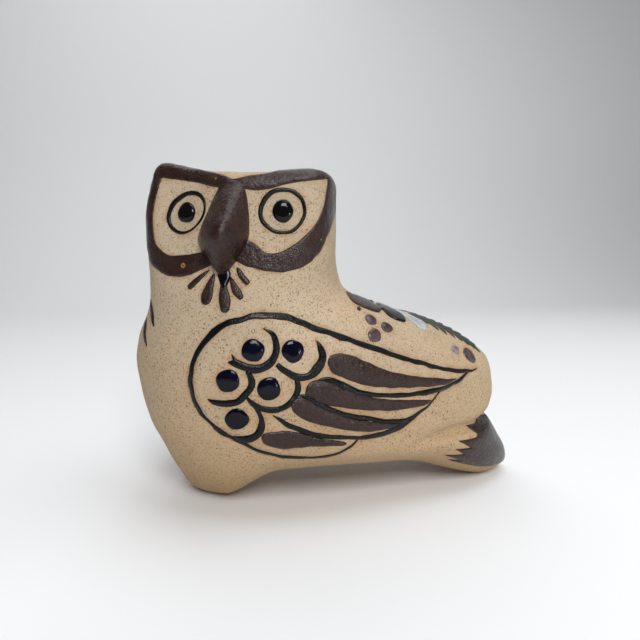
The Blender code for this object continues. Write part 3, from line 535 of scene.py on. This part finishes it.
def drop(press, centre, radii, height, lean=0.0, rings=9, columns=44, seed=1, uneven=0.05):
    """A raised drop of glaze, round or oval, with a slightly uneven edge."""
    turn = np.arange(columns) * 2 * pi / columns
    edge = 1 + np.array([noise.noise(Vector((cos(t) * 1.1, sin(t) * 1.1, seed * 3.7)))
                         for t in turn]) * 2 * uneven
    c, s = cos(lean), sin(lean)
    top, base = [], []
    shares = np.sin(np.linspace(0, pi / 2, rings + 1)[1:])
    centre_at, facing = landing(press, *centre)
    for share in shares:
        x, y = radii[0] * share * edge * np.cos(turn), radii[1] * share * edge * np.sin(turn)
        rise = pillow((1 - share) * min(radii), min(radii) * 0.75, height)
        for a, b in zip(centre[0] + x * c - y * s, centre[1] + x * s + y * c):
            here, way = landing(press, a, b)
            top.append(here + way * rise)
            base.append(here - way * SUNK)
    halo_points.extend(top[-columns::2])
    half = rings * columns + 1
    points = top + [centre_at + facing * height] + base + [centre_at - facing * SUNK]
    faces = []
    for j in range(columns):
        k = (j + 1) % columns
        faces += [(half - 1, j, k), (2 * half - 1, half + k, half + j)]
        for i in range(rings - 1):
            a, b = i * columns, (i + 1) * columns
            faces.append((a + j, b + j, b + k, a + k))
            faces.append((half + a + k, half + b + k, half + b + j, half + a + j))
        edge_row = (rings - 1) * columns
        faces.append((edge_row + k, edge_row + j, half + edge_row + j, half + edge_row + k))
    return points, faces


def gathered(parts):
    """Several solids as one mesh."""
    points, faces = [], []
    for more_points, more_faces in parts:
        start = len(points)
        points += list(more_points)
        faces += [tuple(v + start for v in f) for f in more_faces]
    return points, faces


# ---------------------------------------------------------------- materials

class Look:
    """Short-hand for building one procedural material."""

    def __init__(self, name):
        self.material = bpy.data.materials.new(name)
        self.material.use_nodes = True
        self.tree = self.material.node_tree
        self.shader = self.tree.nodes["Principled BSDF"]
        self.place = self.tree.nodes.new("ShaderNodeTexCoord").outputs["Object"]

    def node(self, kind, **settings):
        made = self.tree.nodes.new(kind)
        for key, value in settings.items():
            setattr(made, key, value)
        return made

    def feed(self, socket, value):
        if hasattr(value, "is_output"):
            self.tree.links.new(value, socket)
        else:
            socket.default_value = (*value, 1) if isinstance(value, tuple) else value

    def noise(self, size_mm, detail, rough):
        made = self.node("ShaderNodeTexNoise")
        self.feed(made.inputs["Vector"], self.place)
        made.inputs["Scale"].default_value = 1000 / size_mm
        made.inputs["Detail"].default_value = detail
        made.inputs["Roughness"].default_value = rough
        return made.outputs["Fac"]

    def cells(self, size_mm):
        made = self.node("ShaderNodeTexVoronoi")
        self.feed(made.inputs["Vector"], self.place)
        made.inputs["Scale"].default_value = 1000 / size_mm
        return made.outputs["Distance"]

    def ramp(self, value, low, high, start=0.0, end=1.0):
        made = self.node("ShaderNodeMapRange")
        self.feed(made.inputs["Value"], value)
        for key, number in (("From Min", low), ("From Max", high), ("To Min", start),
                            ("To Max", end)):
            made.inputs[key].default_value = number
        return made.outputs["Result"]

    def math(self, how, a, b):
        made = self.node("ShaderNodeMath", operation=how)
        self.feed(made.inputs[0], a)
        self.feed(made.inputs[1], b)
        return made.outputs[0]

    def mix(self, share, a, b, blend="MIX"):
        made = self.node("ShaderNodeMix", data_type="RGBA", blend_type=blend)
        self.feed(made.inputs["Factor"], share)
        self.feed(made.inputs["A"], a)
        self.feed(made.inputs["B"], b)
        return made.outputs["Result"]

    def height(self):
        made = self.node("ShaderNodeSeparateXYZ")
        self.feed(made.inputs[0], self.place)
        return made.outputs["Z"]

    def away_from(self, point_mm):
        made = self.node("ShaderNodeVectorMath", operation="DISTANCE")
        self.feed(made.inputs[0], self.place)
        made.inputs[1].default_value = [v * MM for v in point_mm]
        return made.outputs["Value"]

    def attribute(self, name):
        return self.node("ShaderNodeAttribute", attribute_name=name).outputs["Fac"]

    def bump(self, height, distance_mm, strength, under=None):
        made = self.node("ShaderNodeBump")
        self.feed(made.inputs["Height"], height)
        made.inputs["Distance"].default_value = distance_mm * MM
        made.inputs["Strength"].default_value = strength
        if under is not None:
            self.feed(made.inputs["Normal"], under)
        return made.outputs["Normal"]

    def finish(self, colour, rough, normal=None, **constants):
        self.feed(self.shader.inputs["Base Color"], colour)
        self.feed(self.shader.inputs["Roughness"], rough)
        if normal is not None:
            self.feed(self.shader.inputs["Normal"], normal)
        for key, value in constants.items():
            self.shader.inputs[key.replace("_", " ")].default_value = value
        return self.material


def clay_look():
    look = Look("speckled_clay")
    broad = look.noise(26, 3, 0.6)
    colour = look.mix(look.ramp(broad, 0.35, 0.65), (0.465, 0.36, 0.24), (0.55, 0.44, 0.31))
    warm = look.ramp(look.noise(13, 4, 0.6), 0.54, 0.72, 0, 0.4)
    colour = look.mix(warm, colour, (0.52, 0.31, 0.145))
    # Darker and warmer towards the bottom: partly the warm firing flash near the base, partly
    # painted shade of the underside.
    low_flash_and_shade = look.ramp(look.height(), 0.002, 0.05, 0.9, 0)
    colour = look.mix(low_flash_and_shade, colour, (0.48, 0.305, 0.145))
    grain = look.ramp(look.noise(0.45, 3, 0.65), 0.34, 0.62)
    colour = look.mix(look.ramp(grain, 0, 1, 0.4, 0), colour, (0.3, 0.21, 0.12))
    colour = look.mix(look.math("MULTIPLY", look.attribute("halo"), 0.55), colour,
                      (0.38, 0.17, 0.06))
    colour = look.mix(look.attribute("iris"), colour, (0.45, 0.35, 0.245))
    patches = look.ramp(look.noise(7, 2, 0.5), 0.3, 0.7, 0.5, 1.0)
    fine = look.ramp(look.noise(0.42, 1, 0.4), 0.585, 0.65)
    fine = look.math("MULTIPLY", fine, patches)
    colour = look.mix(look.math("MULTIPLY", fine, 0.8), colour, (0.13, 0.08, 0.05))
    spots = look.ramp(look.cells(1.9), 0.13, 0.08)
    chance = look.ramp(look.noise(4.5, 1, 0.5), 0.52, 0.58)
    colour = look.mix(look.math("MULTIPLY", spots, chance), colour, (0.08, 0.05, 0.035))
    rusty = look.ramp(look.cells(6.5), 0.06, 0.035)
    colour = look.mix(rusty, colour, (0.22, 0.08, 0.025))
    rough = look.ramp(grain, 0, 1, 0.62, 0.8)
    normal = look.bump(look.noise(0.7, 4, 0.65), 0.1, 0.7)
    normal = look.bump(fine, 0.05, 0.5, normal)
    return look.finish(colour, rough, normal, Specular_IOR_Level=0.35)


def glaze_look(name, dark, light, rough, bump_mm, pinholes=0.0, coat=0.0, grain_mm=0.8,
               shine=0.5, marks=()):
    look = Look(name)
    cloud = look.ramp(look.noise(5, 4, 0.65), 0.36, 0.66)
    colour = look.mix(cloud, dark, light)
    fine = look.noise(grain_mm, 3, 0.6)
    colour = look.mix(look.ramp(fine, 0.45, 0.7, 0, 0.35), colour, light)
    normal = look.bump(look.noise(grain_mm * 1.6, 3, 0.55), bump_mm, 0.9)
    normal = look.bump(look.noise(grain_mm * 0.5, 2, 0.5), bump_mm * 0.5, 0.9, normal)
    if pinholes:
        holes = look.ramp(look.cells(3.4), 0.105, 0.06)
        chance = look.ramp(look.noise(6, 1, 0.5), 0.6 - pinholes, 0.66 - pinholes)
        holes = look.math("MULTIPLY", holes, chance)
        colour = look.mix(holes, colour, (0.3, 0.14, 0.05))
    for place, radius, rim in marks:
        away = look.away_from(place)
        spot = look.ramp(away, (radius + 0.12) * MM, (radius - 0.05) * MM)
        if rim:
            hollow = look.ramp(away, (radius - rim) * MM, (radius - rim + 0.12) * MM)
            spot = look.math("MULTIPLY", spot, hollow)
        colour = look.mix(spot, colour, (0.34, 0.17, 0.06))
    rough_map = look.ramp(cloud, 0, 1, rough - 0.06, rough + 0.08)
    return look.finish(colour, rough_map, normal, Coat_Weight=coat, Coat_Roughness=0.08,
                       Specular_IOR_Level=shine)


CLAY = clay_look()
face = flat_press(face_origin, face_across, (0, 0, 1), face_inward)
wings = {side: flat_press((0, 0, 0), (1, 0, 0), (0, 0, 1), (0, way, 0))
         for side, way in (("left", 1), ("right", -1))}
# Pinholes in the brown glaze: drawing plane, place on it, radius, width of rim when hollow.
PINHOLES = [(face, -13.4, 70.6, 0.72, 0.3), (face, -22.4, 75.4, 0.3, 0),
            (face, -2.9, 84.6, 0.28, 0), (face, -1.6, 74.1, 0.25, 0), (face, 9.7, 94.5, 0.28, 0),
            (wings["left"], 3, 29.3, 0.3, 0), (wings["left"], 9, 33.5, 0.25, 0),
            (face, 17.5, 71.5, 0.3, 0)]
pinholes = [(settled(landing(press, a, b)[0]), radius, rim)
            for press, a, b, radius, rim in PINHOLES]
BROWN = glaze_look("brown_glaze", (0.016, 0.006, 0.0045), (0.031, 0.0135, 0.0105), 0.26, 0.24,
                   0.04, grain_mm=0.62, shine=0.37, marks=pinholes)
BLACK = glaze_look("black_line_glaze", (0.002, 0.0024, 0.0028), (0.006, 0.007, 0.0078), 0.22, 0.12,
                   grain_mm=0.6, shine=0.22)
PUPIL = glaze_look("pupil_glaze", (0.0012, 0.0012, 0.0015), (0.0025, 0.0025, 0.003), 0.07, 0.015,
                   grain_mm=1.5, shine=0.25)
COBALT = glaze_look("cobalt_glaze", (0.0007, 0.0007, 0.0025), (0.0013, 0.0013, 0.014), 0.1, 0.04,
                    grain_mm=1.0, shine=0.22)
PALE = glaze_look("pale_glaze", (0.3, 0.325, 0.335), (0.44, 0.465, 0.475), 0.2, 0.05, coat=0.3)
GREY = glaze_look("grey_drop_glaze", (0.1, 0.085, 0.1), (0.36, 0.34, 0.37), 0.15, 0.05,
                  coat=0.3, grain_mm=1.4)
PLUM = glaze_look("plum_drop_glaze", (0.035, 0.02, 0.022), (0.11, 0.075, 0.08), 0.25, 0.08,
                  grain_mm=0.9, shine=0.4)
GREEN = glaze_look("leaf_glaze", (0.02, 0.026, 0.02), (0.052, 0.06, 0.048), 0.4, 0.07,
                   shine=0.3)

# ---------------------------------------------------------------- face

FOLD_LIMITS = (-22, 19.5, 92.5)    # left, right and top edge of the flat part of the face
FOLD_DEPTH, FOLD_RADIUS = 20, 5    # the face in front of the middle of the head; its fold
folded_face = folded_press(face_origin, face_across, (0, 0, 1), face_inward, FOLD_LIMITS,
                           FOLD_DEPTH, tan(FACE_WEDGE), FOLD_RADIUS)
# Outer and inner edge of each brown mask, from the brow round to the beak.
RIGHT_MASK = (
    [(0.9, 93.3), (-0.2, 93.5), (-2.5, 94.9), (-6.5, 96.8), (-13, 99.9), (-19.5, 100.3),
     (-26, 99), (-29, 95), (-29.5, 89), (-29.3, 83.5), (-28.3, 78), (-26, 73), (-22.4, 69.7),
     (-18.8, 68.2), (-14.9, 67.8), (-11.4, 68.3), (-8.4, 69.5), (-5.6, 70.6), (-1.5, 72.5)],
    [(0.9, 91), (-0.2, 91), (-4.2, 91), (-9.6, 92.4), (-15.6, 94), (-19, 94.7), (-21.2, 95.1),
     (-21.8, 93.2), (-22.9, 89), (-23.4, 84.5), (-23.1, 79.9), (-22.3, 76.5), (-20.6, 74.7),
     (-18, 73.4), (-14.9, 73.4), (-12.2, 73.6), (-10.4, 73.9), (-7, 74.4), (-2, 76)],
)
LEFT_MASK = (
    [(-1.1, 93.4), (0.2, 93.3), (3.2, 94.1), (6.5, 94.9), (9.7, 96.1), (13, 98.6), (18, 100.1),
     (23.5, 100.2), (30.2, 98.8), (33.4, 95), (33.7, 89), (33.4, 85.3), (31.8, 81.5),
     (28, 77.4), (24.6, 74.7), (21.2, 72.6), (18, 70.2), (14.2, 69.1), (10.5, 69.1),
     (7.6, 69.5), (5.2, 70.2), (2.6, 71.2), (-1.5, 73.5)],
    [(-1.1, 91), (0.2, 90.9), (3.5, 90.4), (6.5, 90.1), (10, 90.6), (13.3, 91.6), (17.5, 92.4),
     (22, 93.1), (28.3, 94), (28.9, 93.2), (28.2, 90.4), (26.8, 86.9), (24.5, 84.3),
     (21.6, 81.5), (19.3, 79.1), (17.1, 77), (14.5, 75.2), (12.2, 74.1), (9.8, 73.9),
     (8.2, 74.5), (6.8, 75.8), (5, 77), (1, 78)],
)


def mask_band(outer, inner, seed):
    both = smooth([(*a, *b) for a, b in zip(outer, inner)], 0.55)
    left, right = both[:, :2], both[:, 2:]
    width = np.linalg.norm(left - right, axis=1)
    share = np.linspace(0, 1, 23)
    share = 0.5 - 0.5 * np.cos(share * pi)
    ragged = wobble(len(both), 0.55, seed, 0.35)
    inward = (right - left) / np.maximum(width, 0.01)[:, None]
    left = left + inward * ragged[:, None]
    plan = left[:, None] + (right - left)[:, None] * share[None, :, None]
    depth = width[:, None] * np.minimum(share, 1 - share)[None, :]
    tops = pillow(depth, 0.8, 0.36)
    for i, row in enumerate(plan):
        for j, (a, b) in enumerate(row):
            tops[i, j] += 0.12 * noise.noise(Vector((a, b, seed)) * 0.35) * (depth[i, j] > 0.3)
    return grid_solid(folded_face, plan, np.maximum(tops, 0))


for side, (outer, inner), seed in (("right", RIGHT_MASK, 3), ("left", LEFT_MASK, 5)):
    mesh_piece("mask_glaze_" + side, *mask_band(outer, inner, seed), BROWN, "brown_glaze",
               ("mask_" + side,))

# Beak rows from brow to tip: height, left and right edge, crest, depth, how full it is.
BEAK = [(92.6, -2.2, 2, 0, 0.1, 2.0), (91.8, -3, 2.7, 0, 0.5, 2.0), (90.4, -3.9, 3.4, 0, 1.6, 2.0),
        (88, -5.2, 4, 0.1, 3.4, 2.0), (84, -6.9, 4.5, 0.1, 6.2, 1.9),
        (80.5, -8.5, 4.6, -0.2, 8.6, 1.75), (77.8, -9.4, 4.4, -0.5, 9.2, 1.6),
        (75, -8.6, 3.3, -0.9, 8, 1.55), (72, -6.5, 1.4, -1.4, 5.2, 1.6),
        (69.8, -4.5, -0.3, -2, 2.8, 1.9), (68.4, -3, -1.3, -2.1, 0.8, 1.9)]


def beak_solid():
    rows = smooth([(0, r[0], *r[1:]) for r in BEAK], 0.45)
    share = np.sin(np.linspace(-pi / 2, pi / 2, 33))
    forward = Vector((-cos(HEAD_TURN), -sin(HEAD_TURN), 0))
    top, base = [], []
    for _, height, left, right, crest, depth, full in rows:
        reach = np.where(share < 0, crest - left, right - crest)
        for s, r in zip(share, reach):
            a = crest + s * r
            here, way = landing(face, a, height)
            rise = depth * (1 - abs(s) ** full) ** (1 / 1.25)
            rise += 0.18 * noise.noise(Vector((a, height, rise)) * 0.28) * min(1, rise)
            top.append(here + forward * rise + way * 0.3)
            base.append(here - way * SUNK)
    return top + base, grid_faces(len(rows), len(share))


mesh_piece("beak_clay", *beak_solid(), BROWN, "brown_glaze", ("beak",))

for seed, (side, (centre, radii, lean, pupil)) in enumerate(EYES.items(), 1):
    turn = np.arange(26) * 2 * pi / 26
    x, y = radii[0] * np.cos(turn), radii[1] * np.sin(turn)
    weight = (0.52 + 0.22 * np.cos(turn - radians(100)) if side == "right"
              else 0.54 + 0.1 * np.cos(turn - radians(150)))
    around = np.column_stack([centre[0] + x * cos(lean) - y * sin(lean),
                              centre[1] + x * sin(lean) + y * cos(lean), weight])
    ring_mesh = stroke(face, around, closed=True, seed=seed, step=0.5, unsteady=0.1)
    mesh_piece("eye_line_" + side, *ring_mesh, BLACK, "black_glaze", ("eye_ring_" + side,))
    bead = drop(face, centre, pupil, 1.0, seed=seed + 4)
    mesh_piece("pupil_bead_" + side, *bead, PUPIL, "black_glaze", ("pupil_" + side,))

chin = [(-1.9, 69.2, 1.6), (-1.8, 68.3, 1.6), (-1.7, 67, 1.35), (-1.6, 65.8, 1),
        (-1.5, 65.1, 0.7)]
mesh_piece("chin_glaze_drop", *stroke(face, round_ended(chin), 0.5, seed=9, columns=13), COBALT,
           "cobalt_glaze", ("chin_drop",))

THROAT = [
    [(-5.8, 69.6, 0.18), (-6.9, 68.7, 0.44), (-8.1, 67.7, 0.68), (-9.5, 66.5, 0.84),
     (-10.9, 65.2, 0.88)],
    [(-4.4, 68.6, 0.25), (-4.8, 67.2, 0.68), (-5.4, 65.4, 1.12), (-5.9, 63.4, 1.42),
     (-6.2, 61.7, 1.3)],
    [(-1.6, 65.4, 1), (-1.3, 63.6, 1.4), (-1.1, 62, 1.44), (-0.9, 60.7, 1.37),
     (-0.8, 59.7, 1.15)],
    [(0.1, 67.8, 0.22), (0.6, 66.6, 0.66), (1.3, 65.1, 0.91), (2, 63.8, 1.02),
     (2.9, 62.7, 0.88)],
    [(1.6, 70.2, 0.22), (2.1, 69.3, 0.6), (2.8, 68.1, 0.81), (3.7, 67.1, 0.9),
     (4.3, 66.4, 0.84)],
]
for number, knots in enumerate(THROAT, 1):
    solid = stroke(face, round_ended(knots), 0.45, 0.7, 13, 0.4, seed=number + 10)
    mesh_piece(f"throat_glaze_{number}", *solid, BROWN, "brown_glaze",
               (f"throat_stroke_{number}",))

# ---------------------------------------------------------------- wings

for side, seed in (("left", 20), ("right", 60)):
    wing = wings[side]
    lines = [stroke(wing, WING_OUTLINE, 0.42, seed=seed),
             stroke(wing, WING_EDGE, 0.5, seed=seed + 1),
             stroke(wing, WING_KINK, 0.42, seed=seed + 2)]
    lines += [stroke(wing, quill, 0.5, seed=seed + 3 + i) for i, quill in enumerate(WING_QUILLS)]
    mesh_piece("wing_lines_" + side, *gathered(lines), BLACK, "black_glaze",
               ("wing_linework_" + side,))
    arcs = [stroke(wing, arc, 0.45, seed=seed + 6 + i) for i, arc in enumerate(COVERTS)]
    mesh_piece("wing_scallops_" + side, *gathered(arcs), BLACK, "black_glaze",
               ("wing_coverts_" + side,))
    for number, (centre, rx, rz) in enumerate(WING_DOTS, 1):
        bead = drop(wing, centre, (rx, rz), 0.55, seed=seed + number)
        mesh_piece(f"cobalt_dot_{number}_{side}", *bead, COBALT, "cobalt_glaze",
                   (f"wing_dot_{number}_{side}",))
    for number, knots in enumerate(FEATHERS, 1):
        solid = stroke(wing, knots, 0.34, 0.8, 19, 0.4, seed=seed + 12 + number,
                       unsteady=0.05)
        mesh_piece(f"feather_glaze_{number}_{side}", *solid, BROWN, "brown_glaze",
                   (f"feather_{number}_{side}",))

# ---------------------------------------------------------------- breast, back, tail

front = flat_press((0, 0, 0), (0, 1, 0), (0, 0, 1), (1, 0, 0))
for side, way, seed in (("left", -1, 80), ("right", 1, 84)):
    marks = {
        "upper": [(8.6 * way, 60.8, 0.25), (11.6 * way, 58, 0.85), (15.4 * way, 54.2, 0.25)],
        "lower": [(7.7 * way, 55.6, 0.25), (10.9 * way, 52.4, 0.9), (14.6 * way, 48.6, 0.25)],
    }
    for place, knots in marks.items():
        solid = stroke(front, knots, 0.4, 0.6, 11, seed=seed)
        mesh_piece(f"breast_glaze_{place}_{side}", *solid, BROWN, "brown_glaze",
                   (f"breast_mark_{place}_{side}",))
        seed += 1

above = flat_press((0, 0, 0), (1, 0, 0), (0, 1, 0), (0, 0, -1))
# Petals and leaf are drawn from above, as (x, y) on the owl's right and mirrored.
PETALS = {
    "brown": ([(13.6, 3.6, 0.6), (11.8, 9, 3.1), (10.5, 14, 4.9), (10.2, 16.6, 4.6),
               (10.1, 18.2, 3.2), (10.1, 18.9, 1.4)], BROWN, "brown_glaze"),
    "black": ([(17.8, 3.6, 0.6), (18.6, 9, 2.4), (19.5, 14.5, 3.4), (19.7, 16.8, 3),
               (19.8, 18.3, 1.8), (19.8, 18.8, 0.8)], PUPIL, "black_glaze"),
    "white": ([(22.3, 6.6, 0.5), (23.9, 9.6, 1.6), (26.3, 14.2, 2.5), (27.3, 16.6, 2.1),
               (27.8, 17.7, 1.2), (28, 18.1, 0.5)], PALE, "pale_glaze"),
}
# Leaf barbs: place along the vein, reach outwards and reach inwards.
BARBS = [(0.03, 5.6, 2.6), (0.17, 6.4, 3.6), (0.31, 6, 4.2), (0.45, 5.2, 4.4), (0.59, 4.2, 4),
         (0.72, 3.2, 3.2), (0.84, 2.4, 2.2), (0.93, 1.8, 1.6)]
VEIN = np.array([(27.5, 7.6), (48, 9)])
for side, way, seed in (("left", -1, 90), ("right", 1, 94)):
    for name, (knots, look, slot) in PETALS.items():
        petal = [(x, y * way, half) for x, y, half in knots]
        solid = stroke(above, petal, 0.5, 1.0, 17, 0.5, seed=seed)
        mesh_piece(f"petal_glaze_{name}_{side}", *solid, look, slot, (f"petal_{name}_{side}",))
    vein = [(*(VEIN[0] + (VEIN[1] - VEIN[0]) * t), half)
            for t, half in ((0, 0.3), (0.15, 1), (0.6, 1.1), (0.9, 0.8), (1, 0.2))]
    barbs = [vein]
    for t, outwards, inwards in BARBS:
        x, y = VEIN[0] + (VEIN[1] - VEIN[0]) * t
        for reach in (outwards, -inwards):
            barbs.append([(x - 1.2, y, 0.9), (x + 0.6, y + 0.45 * reach, 1.1),
                          (x + 2, y + 0.85 * reach, 0.8), (x + 2.7, y + 1.05 * reach, 0.15)])
    barbs = [stroke(above, [(a, b * way, half) for a, b, half in barb], 0.34, seed=seed + i,
                    step=0.5) for i, barb in enumerate(barbs)]
    mesh_piece("leaf_glaze_" + side, *gathered(barbs), GREEN, "green_glaze", ("leaf_" + side,))

# Drops beside the flower: centre, radii, lean; and, on one side only, look and slot.
DROPS = [((10.3, 55.7), (1.87, 1.3), radians(-20)), ((14.9, 53.4), (1.86, 1.25), radians(-20)),
         ((10.6, 51.7), (2, 1.75), radians(-15))]
FAR_DROPS = [((7.4, 58.5), (0.62, 0.5), 0, BROWN, "brown_glaze"),
             ((37.6, 45.5), (1.65, 1.15), radians(-35), GREY, "pale_glaze"),
             ((43.1, 43.3), (2.7, 1.65), radians(-42), PLUM, "brown_glaze")]
for side in ("left", "right"):
    drops = [(*d, PLUM, "brown_glaze") for d in DROPS]
    drops += FAR_DROPS if side == "left" else []
    for number, (centre, radii, lean, look, slot) in enumerate(drops, 1):
        bead = drop(wings[side], centre, radii, 0.42, lean, 7, 32, seed=number + 30, uneven=0.07)
        mesh_piece(f"back_bead_{number}_{side}", *bead, look, slot,
                   (f"back_drop_{number}_{side}",))

# Ragged front edge of the tail glaze: share of its height, distance round the tail.
RAGGED = [(0, 29), (0.03, 31.8), (0.09, 28.6), (0.17, 33.4), (0.28, 28), (0.37, 31),
          (0.45, 26.2), (0.56, 30.4), (0.67, 23.8), (0.73, 23.2), (0.85, 26.4), (0.9, 20.6),
          (0.95, 19.5), (1, 21)]
# Lower and upper edge of the glaze: height at the tip, rise round the side, how far round.
TAIL_LOW, TAIL_HIGH = (3.9, 6.2, 29), (20.8, 2.6, 22.5)
TAIL_AXIS_X, TAIL_RADIUS = 40, 18
tail = round_press(TAIL_AXIS_X, TAIL_RADIUS)
rows = np.linspace(0, 1, 101)
edge = np.interp(rows, *np.array(RAGGED).T)
share = np.linspace(-1, 1, 121)
a = edge[:, None] * share[None, :]
low_edge, high_edge = (at_tip + rise * (np.abs(a) / round_side) ** 2
                       for at_tip, rise, round_side in (TAIL_LOW, TAIL_HIGH))
b = low_edge + (high_edge - low_edge) * rows[:, None]
depth = np.minimum(edge[:, None] * (1 - np.abs(share)) * 0.35,
                   np.minimum(rows, 1 - rows)[:, None] * 17)
mesh_piece("tail_glaze", *grid_solid(tail, np.stack([a, b], -1), pillow(depth, 0.8, 0.4)), BROWN,
           "brown_glaze", ("tail_tip_glaze",))

# ---------------------------------------------------------------- body mesh with its paint halo

body = mesh_piece("clay_body", skin_points, skin_faces, CLAY, "clay",
                  ("shell_left", "shell_right"))
HALO_REACH = 0.8                # how far the stain beside the glaze reaches into the clay
WASH_EDGE, WASH_SHARE = (4.2, 5.2), 0.8   # where the pale wash round a pupil ends; strength
tree = KDTree(len(halo_points))
for i, point in enumerate(halo_points):
    tree.insert(point, i)
tree.balance()
halo = body.data.attributes.new("halo", "FLOAT", "POINT")
iris = body.data.attributes.new("iris", "FLOAT", "POINT")
away = np.array([tree.find(p)[2] for p in skin_points])
patch = np.array([noise.noise(Vector(p) * 0.3) for p in skin_points])
stain = groove(away, (1, HALO_REACH)) * ease(patch, -0.35, 0.4)
halo.data.foreach_set("value", stain.tolist())
u, facing = on_face(skin_points, out)
wash = np.zeros(len(u))
for (eye_u, eye_z), _, _, _ in EYES.values():
    reach = np.hypot(u - eye_u, skin_points[:, 2] - eye_z)
    wash = np.maximum(wash, (1 - ease(reach, *WASH_EDGE)) * (facing > 0.4))
iris.data.foreach_set("value", (wash * WASH_SHARE).tolist())

# The firing vent in the underside is bored part of the way in, by a slightly tapered tool.
VENT_X, VENT_START, VENT_LENGTH = -6.3, 3, 16
VENT_MOUTH_RADIUS, VENT_END_RADIUS = 4.6, 3.9
vent = bmesh.new()
bmesh.ops.create_cone(vent, cap_ends=True, segments=48, radius1=VENT_MOUTH_RADIUS * MM,
                      radius2=VENT_END_RADIUS * MM, depth=VENT_LENGTH * MM)
vent_middle = Vector((VENT_X, 0, VENT_LENGTH / 2 + VENT_START)) * MM
bmesh.ops.translate(vent, verts=vent.verts, vec=vent_middle)
vent_mesh = bpy.data.meshes.new("vent_tool")
vent.to_mesh(vent_mesh)
vent.free()
vent_tool = bpy.data.objects.new("vent_tool", vent_mesh)
bpy.context.scene.collection.objects.link(vent_tool)
cut = body.modifiers.new("vent", "BOOLEAN")
cut.operation = "DIFFERENCE"
cut.solver = "EXACT"
cut.object = vent_tool
graph = bpy.context.evaluated_depsgraph_get()
bored = bpy.data.meshes.new_from_object(body.evaluated_get(graph))
body.modifiers.clear()
body.data = bored
bpy.data.objects.remove(vent_tool, do_unlink=True)

# ---------------------------------------------------------------- stage, light, camera

# The floor, in metres: it runs from front to back, curves up and stands to its top.
FLOOR_FRONT, FLOOR_BACK, FLOOR_HALF_WIDTH, FLOOR_TOP = -1.2, 0.5, 2.5, 1.6
SWEEP = 0.3

def stage_floor():
    """A pale floor that sweeps up behind the owl."""
    profile = [(FLOOR_FRONT, 0), (FLOOR_BACK, 0)]
    profile += [(FLOOR_BACK + SWEEP * sin(t), SWEEP - SWEEP * cos(t))
                for t in np.linspace(0, pi / 2, 13)[1:]]
    profile.append((FLOOR_BACK + SWEEP, FLOOR_TOP))
    points = [(x, y, z) for y, z in profile for x in (-FLOOR_HALF_WIDTH, FLOOR_HALF_WIDTH)]
    faces = [(2 * i, 2 * i + 1, 2 * i + 3, 2 * i + 2) for i in range(len(profile) - 1)]
    mesh = bpy.data.meshes.new("floor")
    mesh.from_pydata(points, [], faces)
    mesh.shade_smooth()
    made = bpy.data.objects.new("floor", mesh)
    bpy.context.scene.collection.objects.link(made)
    pale = bpy.data.materials.new("floor_paper")
    pale.use_nodes = True
    surface = pale.node_tree.nodes["Principled BSDF"]
    surface.inputs["Base Color"].default_value = (0.86, 0.878, 0.9, 1)
    surface.inputs["Roughness"].default_value = 0.85
    mesh.materials.append(pale)


def softbox(name, at, aim, size, power, colour=(1, 1, 1)):
    data = bpy.data.lights.new(name, "AREA")
    data.shape = "RECTANGLE"
    data.size, data.size_y = size
    data.energy = power
    data.color = colour
    made = bpy.data.objects.new(name, data)
    made.location = at
    made.rotation_euler = (Vector(aim) - Vector(at)).to_track_quat("-Z", "Y").to_euler()
    bpy.context.scene.collection.objects.link(made)


stage_floor()
# Lights: place and size in metres, power in watts. The soft front light does most.
middle = (0, 0, 0.05)
softbox("front", (0.02, -0.72, 0.6), middle, (0.36, 0.3), 4.9, (1, 0.995, 0.99))
softbox("window_right", (0.66, -0.14, 0.3), middle, (0.4, 0.5), 0.4, (1, 0.99, 0.97))
softbox("low_right", (0.3, -0.55, 0.07), middle, (0.06, 0.06), 0.3)
softbox("overhead", (0.15, -0.05, 0.7), middle, (0.5, 0.5), 2.2, (0.98, 0.99, 1))
softbox("back", (-0.1, 0.55, 0.8), middle, (0.6, 0.6), 1.8)
world = bpy.data.worlds.new("studio")
world.use_nodes = True
world.node_tree.nodes["Background"].inputs["Color"].default_value = (1, 0.96, 0.9, 1)
world.node_tree.nodes["Background"].inputs["Strength"].default_value = 0.16
bpy.context.scene.world = world

AZIMUTH, ELEVATION, DISTANCE = radians(-10), radians(7), 0.169
target = Vector((-0.0043, 0, 0.0519))
back = Vector((sin(AZIMUTH) * cos(ELEVATION), -cos(AZIMUTH) * cos(ELEVATION), sin(ELEVATION)))
camera_data = bpy.data.cameras.new("camera")
camera_data.lens = 30
camera_data.clip_start = 0.01
camera = bpy.data.objects.new("camera", camera_data)
camera.location = target + back * DISTANCE
camera.rotation_euler = (-back).to_track_quat("-Z", "Y").to_euler()
bpy.context.scene.collection.objects.link(camera)
bpy.context.scene.camera = camera
bpy.context.scene.view_settings.view_transform = "Standard"
